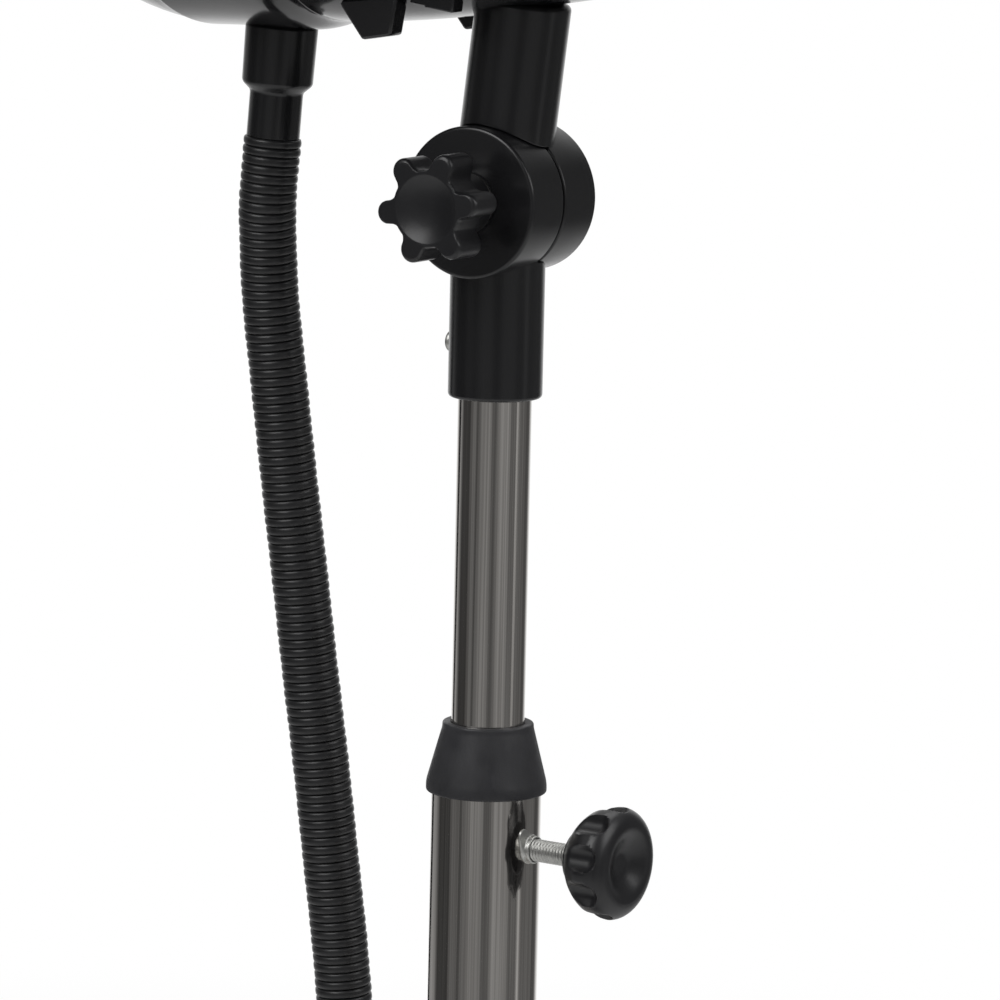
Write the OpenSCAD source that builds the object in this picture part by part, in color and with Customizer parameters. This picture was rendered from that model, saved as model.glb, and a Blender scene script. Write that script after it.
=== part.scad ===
// Pet dryer on a wheeled stand, in millimetres. The floor is z = 0, the column stands on the Z axis,
// the air blows towards -Y and the tilt axis lies along X. The pieces are drawn where they sit.

/* [Column] */
// Height of the outer column's top edge above the floor
column_top = 698; // [600:2:800]
// Outside diameter of the outer column
column_d = 38.1; // [34:0.1:46]
// Wall of the outer column
column_wall = 1.5; // [1:0.1:2.5]
// Overhang of the collar's lower rim over the column
collar_over = 1.9; // [1:0.1:5]
// Wall of the collar's upper rim round the mast
collar_wall = 3.15; // [2.5:0.05:5]
// Height of the collar that shows
collar_h = 24.3; // [16:0.1:40]
// Depth that the collar's rim reaches down over the column
collar_lap = 4; // [2:0.5:8]
// Depth that the collar's sleeve reaches down into the column
collar_sleeve = 10; // [6:1:11]
// Distance of the lock screw below the collar's rim
lock_drop = 18.3; // [15:0.1:40]
// Turn of the lock screw away from straight ahead
lock_turn = 3; // [0:1:40]

/* [Mast] */
// Outside diameter of the mast
mast_d = 25.4; // [20:0.1:31]
// Wall of the mast
mast_wall = 1.2; // [1:0.1:2]
// Length of bare mast between collar and knuckle
mast_show = 113.4; // [105:0.1:180]
// Whole length of the mast
mast_len = 560; // [480:5:600]
// Height of the guide bush on the mast's lower end
bush_h = 30; // [20:1:50]

/* [Knuckle] */
// Diameter of the two clamped discs
disc_d = 52; // [46:0.5:60]
// Width over both discs
disc_width = 41.5; // [36:0.5:50]
// Wall of the socket round the mast
socket_wall = 3.55; // [3:0.05:6]
// Distance from the tilt axis down to the socket's rim
socket_len = 68.3; // [60:0.1:90]
// Outside diameter of the neck
neck_d = 32.7; // [28:0.1:38]
// Rise of the neck's rim over the body's underside
neck_lap = 2.87; // [1:0.01:6]
// Forward lean of the neck at rest
lean = 6.8; // [0:0.1:15]
// Diameter of the tilt bolt and of the lock screw
bolt_d = 8; // [6:0.5:10]

/* [Knobs] */
// Diameter over the tilt knob's lobes
knob_d = 39.4; // [34:0.1:50]
// Depth of the tilt knob's lobes
tilt_lobe_h = 14.5; // [10:0.5:20]
// Length of the tilt knob's hub behind the lobes
tilt_hub_h = 11.4; // [6:0.1:16]
// Diameter of the lock knob
lock_knob_d = 39.2; // [34:0.1:46]
// Depth of the lock knob
lock_knob_h = 21.4; // [18:0.1:26]
// Length of bare screw between boss and lock knob
lock_screw_show = 18.4; // [8:0.1:30]

/* [Head] */
// Largest radius of the body
body_r = 92; // [84:1:98]
// Distance from the tilt axis up to the body's underside over the neck
body_low = 65.13; // [60:0.01:80]
// Place of the largest radius behind the neck
dome_u = 120; // [112:1:130]
// Wall of both shells
shell_wall = 2.5; // [2:0.1:3.5]
// Place of the seam between the shells behind the neck
seam_u = 66; // [60:1:68]
// Distance of the air outlet ahead of the neck
outlet_u = 95; // [85:1:110]
// Length of the outlet spigot
spigot_len = 17; // [12:1:24]
// Radius of the air intake
intake_r = 58; // [54:1:62]
// Place of the conduit cuff behind the neck
cuff_u = 95.4; // [92:0.1:100]
// Diameter of the conduit cuff
cuff_d = 25.4; // [24:0.1:30]
// Length of the conduit cuff's wide part
cuff_h = 20.5; // [14:0.5:26]

/* [Nozzle] */
// Radius of the nozzle's mouth
mouth_r = 27; // [22:0.5:32]
// Length of the nozzle ahead of the outlet spigot
nozzle_len = 52; // [40:1:80]
// Length of the straight tip
tip_len = 18; // [10:1:26]

/* [Inside] */
// Radius of the motor
motor_r = 34; // [28:1:38]
// Length of the motor
motor_len = 60; // [48:1:64]
// Distance of the fan ahead of the air intake
fan_back = 51.414; // [46:0.001:60]
// Room between the rear shell's wall and the fan blades
fan_room = 17; // [12:1:30]
// Number of fan blades
fan_blades = 9; // [5:1:11]
// Distance between the heater and the motor
heater_gap = 32; // [26:1:40]
// Room between the front shell's wall and the heater windings
heater_room = 14.5; // [8:0.5:20]
// Number of heater windings
heater_turns = 7; // [3:1:9]

/* [Base] */
// Radius from the column to the caster stems
base_r = 280; // [230:5:330]
// Number of legs and casters
leg_count = 5; // [5:1:5]
// Rise of the legs from their tips to the hub
leg_rise = 8; // [4:1:20]
// Depth of a leg at its tip
tip_h = 24; // [22:1:30]
// Depth of a leg at the hub
leg_h = 34; // [28:1:40]
// Width of a leg at the hub
leg_w = 40; // [30:1:42]
// Diameter of the hub's flange
flange_d = 118; // [110:1:130]
// Diameter of the hub's barrel
barrel_d = 60; // [58:1:66]
// Height of the hub's barrel above the flange
barrel_h = 46; // [40:1:60]

/* [Casters] */
// Diameter of the caster wheels
wheel_d = 50; // [40:1:60]
// Width of one wheel
wheel_w = 17; // [14:0.5:18]
// Distance of the axle behind the stem
caster_trail = 17; // [14:1:20]
// Diameter of the caster stem
stem_d = 11; // [8:0.5:12]

/* [Conduit] */
// Outside diameter over the conduit's ribs
conduit_d = 20; // [19:0.2:24]
// Bore of the conduit
conduit_bore = 15; // [12:0.5:16]
// Diameter of the plain sleeve between cuff and conduit
sleeve_d = 18.6; // [17:0.2:21]
// Number of the conduit's ribs
rib_count = 196; // [60:2:200]

/* [Hidden] */
$fn = 96;

// Radial clearance of a shaft that turns or slides in its bore
fit = 0.05;
// Gap between pieces that move past each other
gap = 0.3;
// Overlap that makes a cut run cleanly through a face
cut = 1;

// Heights of the stack, each worked out from the one below it
collar_d = column_d + 2 * collar_over;
collar_neck_d = mast_d + 2 * collar_wall;
collar_rim = column_top - collar_lap;
collar_top = collar_rim + collar_h;
socket_rim = collar_top + mast_show;
hinge_z = socket_rim + socket_len;
lock_z = collar_rim - lock_drop;

// Knuckle: the mast ends in the socket, below the recess that the other disc turns in
seam_gap = 0.6;
disc_t = disc_width / 2 - seam_gap;
disc_r = disc_d / 2;
barrel_clear = disc_r + 2 * gap;
socket_d = mast_d + 2 * socket_wall;
socket_web = 1.4;
mast_seat = socket_len - barrel_clear - socket_web - gap;
mast_foot = socket_rim + mast_seat - mast_len;
washer_t = 1;
bolt_bore = bolt_d + 2 * fit;
bolt_head_d = 17;

// Lock screw: its axis starts on the column's axis
boss_d = 9.8;
boss_h = 0.7;
boss_end = column_d / 2 + boss_h;
lock_knob_back = boss_end + lock_screw_show;

// Head outline, as radii over the distance u behind the neck
cone_slope = 0.3;
cone_end = 5;
seam_slope = 0.16;
seam_r = body_r - 9.6;
bend_len = seam_u - cone_end;
lip_len = 12;
lip_step = 3.8;
rear_slope = 0.11;
intake_u = dome_u + sqrt(body_r * body_r - intake_r * intake_r);
cover_lap = 13;
spigot_r = front_r(-outlet_u) - 0.5;
axis_h = body_low + front_r(0);
neck_len = body_low + neck_lap;

// Rail inside the head: its front corners stay clear of the front shell
rail_front = -16;
rail_len = 128;
rail_t = 2.5;
rail_half = 15;
rail_clear = 2.5;
rail_room = front_r(rail_front) - shell_wall - rail_clear;
rail_w = axis_h - sqrt(rail_room * rail_room - rail_half * rail_half);

// Neck's boss: it passes through the front shell and carries the rail
neck_boss_d = 26;
neck_boss_w = body_low - 9;
neck_bolt_bore = 5.1;

// Conduit cuff: its axis starts just under the rear shell
cuff_w = axis_h - rear_r(cuff_u) - 1.4;
cuff_lean = 2.3;
cuff_spigot_d = 19;
sleeve_len = 13.9;

// Base, worked out upwards from the wheels
tip_r = 15;
tip_bottom = wheel_d + 10;
tip_top = tip_bottom + tip_h;
leg_top = tip_top + leg_rise;
hub_bottom = leg_top - leg_h - 4;
column_foot = hub_bottom + 8;
flange_t = 6;
barrel_top = leg_top + flange_t + barrel_h;
leg_inner = barrel_d / 2 + 1;
leg_angle = -90;
leg_screw_d = 6;
leg_screw_len = 12;
leg_screw_out = flange_d / 2 - 11;
leg_screw_side = 10;
set_screw_d = 6;
stem_depth = 19;
gland_z = leg_top + flange_t + 24;
gland_len = 24;
gland_thread_d = 15.8;
mains_thread_d = 12;
mains_turn = 162;

// Casters
wheel_r = wheel_d / 2;
wheel_side = 2 * gap;
axle_d = 6;
plate_t = 7;
hood_gap = 1.2;
hood_r = wheel_r + 4;
hood_t = 2.6;
hood_half = plate_t / 2 + wheel_side + wheel_w;
lever_pin_d = 4;
lever_lug_r = 4.5;
lever_out = wheel_r + lever_lug_r + 0.5;
lever_x = caster_trail + lever_out * cos(45);
lever_z = wheel_r + lever_out * sin(45);

function leg_turn(i) = leg_angle + (i - 1) * 360 / leg_count;
function caster_turn(i) = [150, 35, 250, 110, 320][i - 1];

// ---------------------------------------------------------------- small shared shapes

module tube(outer_d, inner_d, h) {
  difference() {
    cylinder(d = outer_d, h = h);
    translate([0, 0, -cut]) cylinder(d = inner_d, h = h + 2 * cut);
  }
}

// Solid of revolution with its lower and upper edges rounded to radius e
module round_disc(d, h, e) {
  rotate_extrude() {
    translate([0, e]) square([d / 2, h - 2 * e]);
    square([d / 2 - e, h]);
    translate([d / 2 - e, e]) circle(r = e, $fn = 32);
    translate([d / 2 - e, h - e]) circle(r = e, $fn = 32);
  }
}

// Pan-head screw with its head on z = 0 and its shank pointing down
module pan_screw(head_d, head_h, shank_d, shank_len) {
  difference() {
    union() {
      round_disc(head_d, head_h, head_h * 0.45);
      translate([0, 0, -shank_len]) cylinder(d = shank_d, h = shank_len + head_h / 2);
    }
    for (a = [0, 90]) rotate(a)
      translate([-head_d * 0.28, -head_d * 0.06, head_h * 0.45])
        cube([head_d * 0.56, head_d * 0.12, head_h]);
  }
}

// Places its children in the head's frame: origin on the tilt axis, Z along the neck
module in_head() { translate([0, 0, hinge_z]) rotate([lean, 0, 0]) children(); }

// Places its children on the body's own axis, with their Z pointing to the rear
module on_axis(u = 0) { in_head() translate([0, u, axis_h]) rotate([-90, 0, 0]) children(); }

// Places its children on the lock screw's axis, with their Z pointing away from the column
module on_lock() { translate([0, 0, lock_z]) rotate([0, 0, -lock_turn]) rotate([90, 0, 0]) children(); }

// Places its children on the tilt axis, with their Z pointing to the knob
module on_tilt() { translate([0, 0, hinge_z]) rotate([0, -90, 0]) children(); }

// ---------------------------------------------------------------- stand

module base_hub() {
  color("#1c1c1e") difference() {
    union() {
      translate([0, 0, hub_bottom]) cylinder(d = barrel_d, h = barrel_top - hub_bottom - 3);
      translate([0, 0, barrel_top - 3]) cylinder(d1 = barrel_d, d2 = barrel_d - 6, h = 3);
      translate([0, 0, leg_top]) round_disc(flange_d, flange_t, 2);
      translate([0, 0, leg_top + flange_t - 0.5]) cylinder(d1 = barrel_d + 16, d2 = barrel_d, h = 9);
    }
    translate([0, 0, column_foot]) cylinder(d = column_d + 2 * fit, h = barrel_top);
    translate([0, 0, hub_bottom - cut]) cylinder(d = column_d - 12, h = barrel_top);
    for (i = [1 : leg_count]) leg_screw_places(i)
      translate([0, 0, -flange_t - cut]) cylinder(d = leg_screw_d + 0.4, h = flange_t + 2 * cut);
    translate([0, 0, gland_z]) rotate([-90, 0, 0]) cylinder(d = gland_thread_d + 0.2, h = barrel_d);
    mains_place() translate([0, 0, -barrel_d / 4]) cylinder(d = mains_thread_d + 0.2, h = barrel_d / 2);
    set_screw_places() translate([0, 0, -8]) cylinder(d = set_screw_d + 2 * fit, h = 20);
  }
}

// The two screws of leg i, on the flange's upper face
module leg_screw_places(i) {
  for (s = [-1, 1]) rotate([0, 0, leg_turn(i)])
    translate([leg_screw_out, s * leg_screw_side, leg_top + flange_t]) children();
}

// Two set screws that hold the column in the hub
module set_screw_places() {
  for (a = [-35, 215]) translate([0, 0, barrel_top - 14]) rotate([0, 0, a])
    translate([barrel_d / 2, 0, 0]) rotate([0, 90, 0]) children();
}

// Place of the mains lead's gland on the barrel
module mains_place() {
  translate([0, 0, gland_z]) rotate([0, 0, mains_turn]) translate([barrel_d / 2, 0, 0])
    rotate([0, 90, 0]) children();
}

module leg(i) {
  side = [[leg_inner, leg_top - leg_h], [leg_inner, leg_top], [flange_d / 2 + 3, leg_top],
    [base_r - 30, tip_top], [base_r + tip_r, tip_top], [base_r + tip_r, tip_bottom],
    [base_r - tip_r - 4, tip_bottom], [flange_d / 2 + 20, leg_top - leg_h]];
  color("#1e1e20") rotate([0, 0, leg_turn(i)]) difference() {
    intersection() {
      rotate([90, 0, 0]) translate([0, 0, -leg_w]) linear_extrude(2 * leg_w) polygon(side);
      linear_extrude(leg_top) {
        polygon([[leg_inner, -leg_w / 2], [base_r, -tip_r], [base_r, tip_r], [leg_inner, leg_w / 2]]);
        translate([base_r, 0]) circle(r = tip_r);
      }
    }
    translate([base_r, 0, tip_bottom - cut]) cylinder(d = stem_d + 2 * fit, h = stem_depth + cut);
    for (s = [-1, 1]) translate([leg_screw_out, s * leg_screw_side, leg_top - leg_screw_len - 1])
      cylinder(d = leg_screw_d + 2 * fit, h = leg_screw_len + 1 + cut);
  }
}

module base_screws() {
  color("#8f9194") {
    for (i = [1 : leg_count]) leg_screw_places(i) pan_screw(11, 3.4, leg_screw_d, flange_t + leg_screw_len);
    set_screw_places() difference() {
      translate([0, 0, -7]) cylinder(d = set_screw_d, h = 8.5);
      translate([0, 0, -1]) cylinder(d = 3.5, h = 5, $fn = 6);
    }
  }
}

module outer_column() {
  color("#a9a6a2") difference() {
    union() {
      translate([0, 0, column_foot]) cylinder(d = column_d, h = column_top - column_foot);
      on_lock() {
        cylinder(d = boss_d, h = boss_end - 0.3);
        translate([0, 0, boss_end - 0.3]) cylinder(d1 = boss_d, d2 = boss_d - 0.6, h = 0.3);
      }
    }
    translate([0, 0, column_foot - cut])
      cylinder(d = column_d - 2 * column_wall, h = column_top - column_foot + 2 * cut);
    on_lock() cylinder(d = bolt_bore, h = 2 * boss_end);
    translate([0, 0, gland_z]) rotate([-90, 0, 0]) cylinder(d = gland_thread_d + 0.2, h = column_d);
    translate([0, 0, gland_z]) rotate([0, 0, mains_turn]) rotate([0, 90, 0])
      cylinder(d = mains_thread_d + 0.2, h = column_d);
  }
}

module collar() {
  lip = 1.6;
  color("#2b2b2e") translate([0, 0, collar_rim]) rotate_extrude() difference() {
    union() {
      polygon([[0, 0], [collar_d / 2 - lip, 0], [collar_d / 2, lip], [collar_d / 2, lip + 1.5],
        [collar_neck_d / 2, collar_h - lip], [collar_neck_d / 2 - lip, collar_h], [0, collar_h]]);
      translate([collar_d / 2 - lip, lip]) circle(r = lip, $fn = 32);
      translate([collar_neck_d / 2 - lip, collar_h - lip]) circle(r = lip, $fn = 32);
      translate([0, collar_lap - collar_sleeve]) square([column_d / 2 - column_wall - fit, collar_sleeve]);
    }
    translate([-cut, collar_lap - collar_sleeve - cut]) square([mast_d / 2 + fit + cut, 2 * collar_h]);
    translate([column_d / 2 - column_wall - fit, -cut])
      square([column_wall + 2 * fit, collar_lap + cut]);
  }
}

module conduit_gland() {
  color("#202022") translate([0, 0, gland_z]) rotate([-90, 0, 0]) difference() {
    union() {
      translate([0, 0, barrel_d / 2 - 2]) cylinder(d = gland_thread_d, h = 6);
      translate([0, 0, barrel_d / 2 + 0.5]) cylinder(d = 27, h = 5, $fn = 6);
      translate([0, 0, barrel_d / 2 + 5]) cylinder(d = 25, h = gland_len - 9);
      translate([0, 0, barrel_d / 2 + gland_len - 4]) cylinder(d1 = 25, d2 = 22, h = 4);
    }
    translate([0, 0, barrel_d / 2 - 10]) cylinder(d = conduit_bore - 2, h = gland_len + 20);
  }
}

module mains_gland() {
  color("#202022") mains_place() difference() {
    union() {
      translate([0, 0, -6]) cylinder(d = mains_thread_d, h = 8);
      translate([0, 0, 0.4]) cylinder(d = 18, h = 4, $fn = 6);
      translate([0, 0, 4]) cylinder(d1 = 16, d2 = 11, h = 9);
    }
    translate([0, 0, -7]) cylinder(d = 7, h = 30);
  }
}

// ---------------------------------------------------------------- mast and its guide

module guide_bush() {
  floor_t = 3;
  color("#d8d4c8") translate([0, 0, mast_foot - floor_t - 0.2]) difference() {
    cylinder(d = column_d - 2 * column_wall - 2 * fit, h = bush_h);
    translate([0, 0, floor_t]) cylinder(d = mast_d + 2 * fit, h = bush_h);
    translate([0, 0, -cut]) cylinder(d = 8, h = bush_h);
  }
}

module mast_tube() {
  color("#a9a6a2") translate([0, 0, mast_foot]) tube(mast_d, mast_d - 2 * mast_wall, mast_len);
}

module socket_knuckle() {
  color("#1b1b1d") difference() {
    union() {
      difference() {
        union() {
          translate([0, 0, socket_rim + 2]) cylinder(d = socket_d, h = socket_len - 2);
          translate([0, 0, socket_rim]) round_disc(socket_d, 6, 2);
        }
        translate([-seam_gap, 0, hinge_z]) rotate([0, 90, 0]) cylinder(r = barrel_clear, h = disc_width);
      }
      on_tilt() translate([0, 0, seam_gap]) difference() {
        cylinder(r = disc_r, h = disc_t);
        translate([0, 0, disc_t - 0.8]) tube(disc_d - 5, disc_d - 7, 2);
      }
    }
    translate([0, 0, socket_rim - cut]) cylinder(d = mast_d + 2 * fit, h = mast_seat + cut + gap);
    on_tilt() translate([0, 0, -disc_width]) cylinder(d = bolt_bore, h = 2 * disc_width);
    socket_screw_place() translate([0, 0, -8]) cylinder(d = 4.1, h = 20);
  }
}

// The screw that pins the mast in the socket sits on the rear side
module socket_screw_place() {
  translate([0, socket_d / 2, hinge_z - 50.5]) rotate([-90, 0, 0]) children();
}

module socket_screw() {
  color("#b9bbbd") socket_screw_place() pan_screw(7.5, 2.6, 4, (socket_d - mast_d) / 2 - 0.2);
}

module friction_disc() {
  color("#4a3a2c") on_tilt() translate([0, 0, 0.1 - seam_gap])
    tube(disc_d - 5, bolt_d + 1, 2 * seam_gap - 0.2);
}

module tilt_bolt() {
  head_t = 5;
  color("#8f9194") on_tilt() {
    translate([0, 0, -disc_width / 2 + 1]) {
      cylinder(d = bolt_d, h = disc_width + tilt_hub_h + tilt_lobe_h - 8.5);
      difference() {
        cylinder(d = bolt_head_d, h = head_t);
        translate([0, 0, -cut]) cylinder(d = 7, h = 4, $fn = 6);
      }
    }
    translate([0, 0, disc_width / 2]) tube(20, bolt_d + 2 * fit, washer_t);
  }
}

// Star knob with its hub on z = 0: lobes of radius lobe_r stand round a core
module tilt_knob() {
  lobes = 6;
  first_lobe = 38;
  lobe_r = 4;
  lobe_rise = 6.3;
  hub_d = 24;
  dish_r = 27.1;
  dish_h = 3;
  face_h = tilt_hub_h + tilt_lobe_h;
  color("#1b1b1d") on_tilt() translate([0, 0, disc_width / 2 + washer_t + 0.1]) difference() {
    union() {
      cylinder(d1 = hub_d - 3, d2 = hub_d, h = tilt_hub_h);
      translate([0, 0, tilt_hub_h]) intersection() {
        linear_extrude(tilt_lobe_h) {
          circle(r = knob_d / 2 - lobe_rise);
          for (k = [0 : lobes - 1]) rotate(first_lobe + k * 360 / lobes)
            translate([knob_d / 2 - lobe_r, 0]) circle(r = lobe_r);
        }
        round_disc(knob_d, tilt_lobe_h, 2);
      }
    }
    translate([0, 0, face_h + dish_r - dish_h]) sphere(r = dish_r);
    translate([0, 0, -cut]) cylinder(d = bolt_bore, h = face_h - dish_h - 1.5 + cut);
  }
}

module lock_screw() {
  tip = mast_d / 2 + 0.15;
  color("#c9cacc") on_lock() translate([0, 0, tip]) {
    cylinder(d1 = bolt_d - 2, d2 = bolt_d, h = 1);
    translate([0, 0, 1]) cylinder(d = bolt_d, h = lock_knob_back + 12 - tip);
  }
}

// Lock knob: a hub that swells to a scalloped rim, which is rounded over to a shallow dish
module lock_knob() {
  scallops = 9;
  first_scallop = 6.5;
  scallop_r = 4.8;
  hub_r = 9.4;
  rim_e = 6.2;
  rim_r = lock_knob_d / 2;
  scallop_h = lock_knob_h - rim_e + 0.8;
  dish_r = 31;
  dish_h = 2.6;
  back = [[0, 0], [hub_r, 0], [hub_r + 0.4, 1], [rim_r - 5.8, 3.7], [rim_r - 2.5, 7.3], [rim_r - 0.4, 11.2]];
  front = [for (a = [0 : 15 : 90])
    [rim_r - rim_e + rim_e * cos(a), lock_knob_h - rim_e + rim_e * sin(a)]];
  color("#1b1b1d") on_lock() translate([0, 0, lock_knob_back]) difference() {
    rotate_extrude() polygon(concat(back, front, [[0, lock_knob_h]]));
    for (k = [0 : scallops - 1])
      rotate(first_scallop + k * 360 / scallops) translate([rim_r + 0.9, 0, 0])
        rotate_extrude($fn = 48) polygon([[0, -cut], [scallop_r, -cut], [scallop_r, scallop_h],
          [scallop_r * 0.8, scallop_h + 2.6], [scallop_r * 0.4, scallop_h + 4], [0, scallop_h + 4]]);
    translate([0, 0, lock_knob_h + dish_r - dish_h]) sphere(r = dish_r);
    translate([0, 0, -cut]) cylinder(d = bolt_bore, h = 13 + cut);
  }
}

// ---------------------------------------------------------------- head

module neck_knuckle() {
  gusset_t = 14;
  gusset = [[seam_gap, 0], [disc_width / 2 - 1, disc_r - 3], [neck_d / 2 - 0.5, neck_len / 2],
    [seam_gap, neck_len / 2]];
  color("#1b1b1d") difference() {
    in_head() union() {
      difference() {
        union() {
          cylinder(d = neck_d, h = neck_len - 3);
          translate([0, 0, neck_len - 6]) round_disc(neck_d, 6, 1.5);
        }
        translate([seam_gap, 0, 0]) rotate([0, -90, 0]) cylinder(r = barrel_clear, h = disc_width);
      }
      translate([seam_gap, 0, 0]) rotate([0, 90, 0]) cylinder(r = disc_r, h = disc_t);
      translate([0, gusset_t / 2, 0]) rotate([90, 0, 0]) linear_extrude(gusset_t) polygon(gusset);
    }
    body_solid();
    in_head() translate([disc_width / 2 - 6, 0, 0]) rotate([0, 90, 0])
      cylinder(d = bolt_head_d + 0.8, h = 12);
    in_head() translate([-disc_width, 0, 0]) rotate([0, 90, 0]) cylinder(d = bolt_bore, h = 2 * disc_width);
    in_head() neck_bolt_places() translate([0, 0, -22]) cylinder(d = neck_bolt_bore, h = 30);
  }
  color("#1b1b1d") in_head() difference() {
    translate([0, 0, neck_boss_w]) cylinder(d = neck_boss_d, h = rail_w - neck_boss_w);
    neck_bolt_places() translate([0, 0, -22]) cylinder(d = neck_bolt_bore, h = 30);
  }
}

// Two bolts on the rail's upper face run down into the neck's boss
module neck_bolt_places() {
  for (s = [-1, 1]) translate([s * 7, 0, rail_w + rail_t]) children();
}

module neck_bolts() {
  color("#8f9194") in_head() neck_bolt_places() pan_screw(9.5, 3, neck_bolt_bore - 2 * fit, 21);
}

module chassis_rail() {
  color("#77797c") in_head() difference() {
    translate([-rail_half, rail_front, rail_w]) cube([2 * rail_half, rail_len, rail_t]);
    neck_bolt_places() translate([0, 0, -rail_t - cut])
      cylinder(d = neck_bolt_bore + gap, h = rail_t + 2 * cut);
  }
}

// Radius of the front shell at u: a cone, then a bend that flattens up to the seam
function front_r(u) =
  let (t = max(0, u - cone_end), at_bend = seam_r - (cone_slope + seam_slope) / 2 * bend_len)
  u <= cone_end ? at_bend - cone_slope * (cone_end - u)
    : at_bend + cone_slope * t - (cone_slope - seam_slope) * t * t / (2 * bend_len);

// Radius of the rear shell at u: a short lip, a slow rise, then a round dome
function rear_r(u) =
  let (k = min(1, max(0, (seam_u + lip_len - u) / lip_len)))
  u >= dome_u ? sqrt(body_r * body_r - (u - dome_u) * (u - dome_u))
    : body_r - rear_slope * (dome_u - u) - lip_step * k * k * (3 - 2 * k)
      + rear_slope * pow(max(0, 30 - (dome_u - u)), 2) / 60 * 0.5;

front_steps = [for (i = [0 : 14]) -outlet_u + (outlet_u + seam_u) * i / 14];
rear_steps = [
  for (i = [0 : 6]) seam_u + lip_len * i / 6,
  for (i = [1 : 4]) seam_u + lip_len + (dome_u - seam_u - lip_len) * i / 4,
  for (i = [1 : 10]) dome_u + (intake_u - dome_u) * sin(9 * i)];

function reversed(list) = [for (i = [len(list) - 1 : -1 : 0]) list[i]];

// The whole body as a solid, for trimming what stands on its outside
module body_solid() {
  on_axis() rotate_extrude() polygon(concat([[0, -outlet_u]],
    [for (u = front_steps) [front_r(u), u]], [for (u = rear_steps) [rear_r(u), u]], [[0, intake_u]]));
}

module front_shell() {
  tongue_r = seam_r - shell_wall - 0.4;
  color("#161618") difference() {
    union() {
      on_axis() rotate_extrude() polygon(concat([for (u = front_steps) [front_r(u), u]],
        [for (u = reversed(front_steps)) [front_r(u) - shell_wall, u]]));
      on_axis(-outlet_u - spigot_len) tube(2 * spigot_r, 2 * (spigot_r - shell_wall), spigot_len + 2);
      on_axis(seam_u - 6) tube(2 * tongue_r, 2 * (tongue_r - 2), 13);
      on_axis(seam_u - 6) tube(2 * tongue_r + 2, 2 * (tongue_r - 2), 5);
    }
    in_head() translate([0, 0, neck_boss_w]) cylinder(d = neck_boss_d + 0.4, h = 30);
    for (a = [45 : 90 : 315]) shell_screw_place(a) translate([0, 0, -9]) cylinder(d = 3.4, h = 14);
  }
}

module shell_screw_place(a) {
  u = seam_u + 4;
  on_axis(u) rotate([0, 0, a]) translate([rear_r(u) - 0.6, 0, 0]) rotate([0, 90, 0]) children();
}

module rear_shell() {
  color("#161618") difference() {
    union() {
      on_axis() rotate_extrude() polygon(concat([for (u = rear_steps) [rear_r(u), u]],
        [for (u = reversed(rear_steps)) [rear_r(u) - shell_wall, u - (u > dome_u + 20 ? 1 : 0)]]));
      on_axis(intake_u - cover_lap - 1) tube(2 * intake_r + 2, 2 * intake_r - 2, cover_lap + 1);
    }
    on_axis(intake_u - cover_lap - 3) cylinder(r = intake_r - 1, h = 2 * cover_lap);
    cuff_place() translate([0, 0, -12]) cylinder(d = cuff_spigot_d + 0.4, h = 30);
    for (a = [45 : 90 : 315]) shell_screw_place(a) {
      translate([0, 0, -9]) cylinder(d = 3.4, h = 14);
      cylinder(d = 7, h = 6);
    }
  }
}

module shell_screws() {
  color("#2a2a2c") for (a = [45 : 90 : 315]) shell_screw_place(a) pan_screw(6.4, 1.8, 3.2, 7);
}

// Two wedge feet under the front shell, with flat soles that slope as the shell does
foot_x = 33;
foot_t = 8;
foot_u = 34;
foot_w = axis_h - front_r(foot_u) - 4.5;
foot_rise = 3.3;

module rest_feet() {
  side = [[foot_u - 7, foot_w + 26], [foot_u - 5.5, foot_w + foot_rise / 2],
    [foot_u + 5.5, foot_w - foot_rise / 2], [foot_u + 15.6, foot_w + 8.2], [foot_u + 15.6, foot_w + 26]];
  color("#1b1b1d") difference() {
    in_head() for (s = [-1, 1]) translate([s * foot_x - foot_t / 2, 0, 0])
      rotate([90, 0, 90]) linear_extrude(foot_t) polygon(side);
    body_solid();
  }
}

// Two small clips beside the neck, each a block with a hook to the rear
clip_x = 30;
clip_t = 7;
clip_u = 7.6;
clip_w = axis_h - front_r(clip_u) + 1.4;

module shell_clips() {
  color("#1b1b1d") difference() {
    in_head() for (s = [-1, 1]) translate([s * clip_x - clip_t / 2, clip_u, clip_w]) {
      cube([clip_t, 11, 16]);
      translate([0, 8, 0.6]) cube([clip_t, 9, 2.6]);
    }
    body_solid();
  }
}

// Places its children on the cuff's axis, with their Z pointing up into the body
module cuff_place() {
  in_head() translate([0, cuff_u, cuff_w]) rotate([-cuff_lean, 0, 0]) children();
}

module conduit_cuff() {
  lip_h = 1.5;
  color("#1b1b1d") difference() {
    union() {
      difference() {
        cuff_place() {
          translate([0, 0, -cuff_h]) cylinder(d = cuff_d, h = cuff_h + 8);
          translate([0, 0, -4]) cylinder(d1 = cuff_d, d2 = cuff_d + 1.4, h = lip_h);
          translate([0, 0, -4 + lip_h]) cylinder(d = cuff_d + 1.4, h = 8);
        }
        body_solid();
      }
      cuff_place() {
        translate([0, 0, -cuff_h - 3]) cylinder(d1 = sleeve_d + 0.6, d2 = cuff_d, h = 3);
        translate([0, 0, -cuff_h - 3 - sleeve_len]) cylinder(d = sleeve_d, h = sleeve_len + 6);
        cylinder(d = cuff_spigot_d, h = 12);
        translate([0, 0, 7]) cylinder(d = 26, h = 4, $fn = 6);
      }
    }
    cuff_place() translate([0, 0, -60]) cylinder(d = conduit_bore, h = 90);
  }
}

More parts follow.
